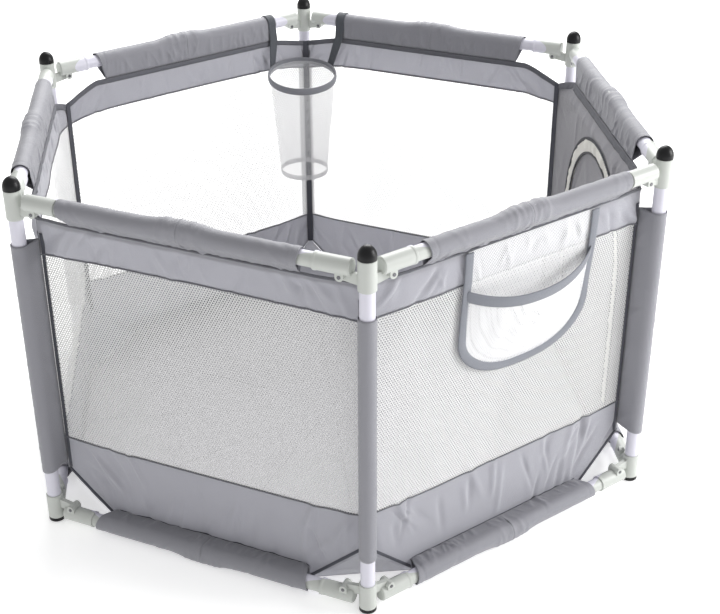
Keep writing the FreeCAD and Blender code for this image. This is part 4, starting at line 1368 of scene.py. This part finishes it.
# %% Straps
def strap(side):
    """One webbing strap: a loop round the rail, then a flat drop over the wall's edge to the hoop."""
    turn = math.radians(60 * side)
    rail_way = np.array([math.cos(turn), math.sin(turn), 0.0])
    inward = np.array([math.sin(turn) * side, -math.cos(turn) * side, 0.0])
    upward = np.array([0, 0, 1.0])
    beside = 0.086 + 0.002 + 0.0095
    axis = rail_way * beside + upward * TOP_AXIS
    radius = SLEEVE + 0.0020
    fold = axis + inward * (INSET - PULL + 0.0050) - upward * 0.0315
    bearing = math.radians(180 - 56 * side)
    radial = np.array([math.cos(bearing), math.sin(bearing), 0.0])
    tangent = np.array([math.sin(bearing) * side, -math.cos(bearing) * side, 0.0])
    outside = HOOP_R + 0.0016
    lean = math.tan(HOOP_SLOPE) * outside * math.cos(bearing)
    foot = np.array([HOOP_X, HOOP_Y, HOOP_Z]) + radial * outside - upward * (lean + HOOP_BAND / 2)
    loop = np.radians(np.linspace(230, -12, 60))
    over = [axis + radius * (inward * math.cos(a) + upward * math.sin(a)) for a in loop]
    middle = np.array(over + [fold * (1 - k) + foot * k for k in np.linspace(0, 1, 30)])
    run = np.concatenate([[0], np.cumsum(np.linalg.norm(np.diff(middle, axis=0), axis=1))])
    total, width = run[-1], 0.019
    drop_start = run[60] / total

    def lay(x, y):
        p = np.stack([np.interp(x, run, middle[:, k]) for k in range(3)], 1)
        share = soft_step((x / total - drop_start) / (1 - drop_start))
        wide = rail_way[None, :] * (1 - share[:, None]) + tangent[None, :] * share[:, None]
        wide /= np.linalg.norm(wide, axis=1, keepdims=True)
        q = p + wide * y[:, None]
        return q[:, 0], q[:, 1], q[:, 2]

    word = "left" if side > 0 else "right"
    ob = cut_cloth(f"hoop_strap_{word}", 150, 6, lambda u, v: (total * u, width * (v - 0.5)), lay)
    thicken(ob, 0.0016)
    to_place(ob, post_frame[D])
    finish_piece(ob, webbing, "post_d", ["hoop_straps"])


strap(1)
strap(-1)
print("straps hung")

# %% [markdown]
# ## Floor, light and camera
#
# A plain pale floor and high soft light, stronger from the right, keep the scene bright and leave only a
# soft contact shadow. The camera stands a little left of the front post and looks down into the playpen.

# %% Ground and light
bpy.ops.mesh.primitive_plane_add(size=40, location=(0, 0, -0.0005))
ground = bpy.context.object
ground.name = "ground"
ground_paint = bpy.data.materials.new("matt white ground")
ground_paint.use_nodes = True
ground_paint.node_tree.nodes["Principled BSDF"].inputs["Base Color"].default_value = (0.92, 0.92, 0.92, 1)
ground_paint.node_tree.nodes["Principled BSDF"].inputs["Roughness"].default_value = 0.9
ground_paint.node_tree.nodes["Principled BSDF"].inputs["Emission Color"].default_value = (1, 1, 1, 1)
ground_paint.node_tree.nodes["Principled BSDF"].inputs["Emission Strength"].default_value = 0.42
ground.data.materials.append(ground_paint)

ROOM_LIGHT = 0.62
world = bpy.data.worlds.new("bright room")
bpy.context.scene.world = world
world.use_nodes = True
world.node_tree.nodes["Background"].inputs["Color"].default_value = (1.0, 1.0, 1.0, 1)
room = world.node_tree.nodes["Background"]
seen = world.node_tree.nodes.new("ShaderNodeLightPath")
brightness = maths(world.node_tree, "MAXIMUM", seen.outputs["Is Camera Ray"], ROOM_LIGHT)
world.node_tree.links.new(brightness, room.inputs["Strength"])


def soft_light(name, place, size, watts):
    bpy.ops.object.light_add(type="AREA", location=place)
    lamp = bpy.context.object
    lamp.name = name
    lamp.data.shape = "SQUARE"
    lamp.data.size = size
    lamp.data.energy = watts
    lamp.rotation_mode = "QUATERNION"
    lamp.rotation_quaternion = (Vector(place) - Vector((0, 0, 0.3))).to_track_quat("Z", "Y")


soft_light("key from the right", (3.1, -0.9, 1.5), 1.5, 80)
soft_light("from behind", (0.5, 2.6, 2.7), 2.6, 150)

# %% Camera
azimuth, elevation, roll = math.radians(-6.17), math.radians(29.11), math.radians(-0.27)
target, distance = Vector((0.0571, 0.0, 0.2344)), 2.749
level = math.cos(elevation)
back_way = Vector((math.sin(azimuth) * level, -math.cos(azimuth) * level, math.sin(elevation)))
right_way = (-back_way).cross(UP).normalized()
up_way = right_way.cross(-back_way)
right_rolled = right_way * math.cos(roll) + up_way * math.sin(roll)
up_rolled = up_way * math.cos(roll) - right_way * math.sin(roll)
camera_data = bpy.data.cameras.new("camera")
camera_data.lens, camera_data.sensor_width = 67.95, 36.0
camera = bpy.data.objects.new("camera", camera_data)
bpy.context.scene.collection.objects.link(camera)
camera.rotation_mode = "QUATERNION"
spot = target + back_way * distance
turn = Matrix((right_rolled, up_rolled, back_way)).transposed()
camera.location, camera.rotation_quaternion = spot, turn.to_quaternion()
bpy.context.scene.camera = camera
bpy.context.scene.view_settings.view_transform = "Standard"
print("camera at", [round(v, 3) for v in spot])
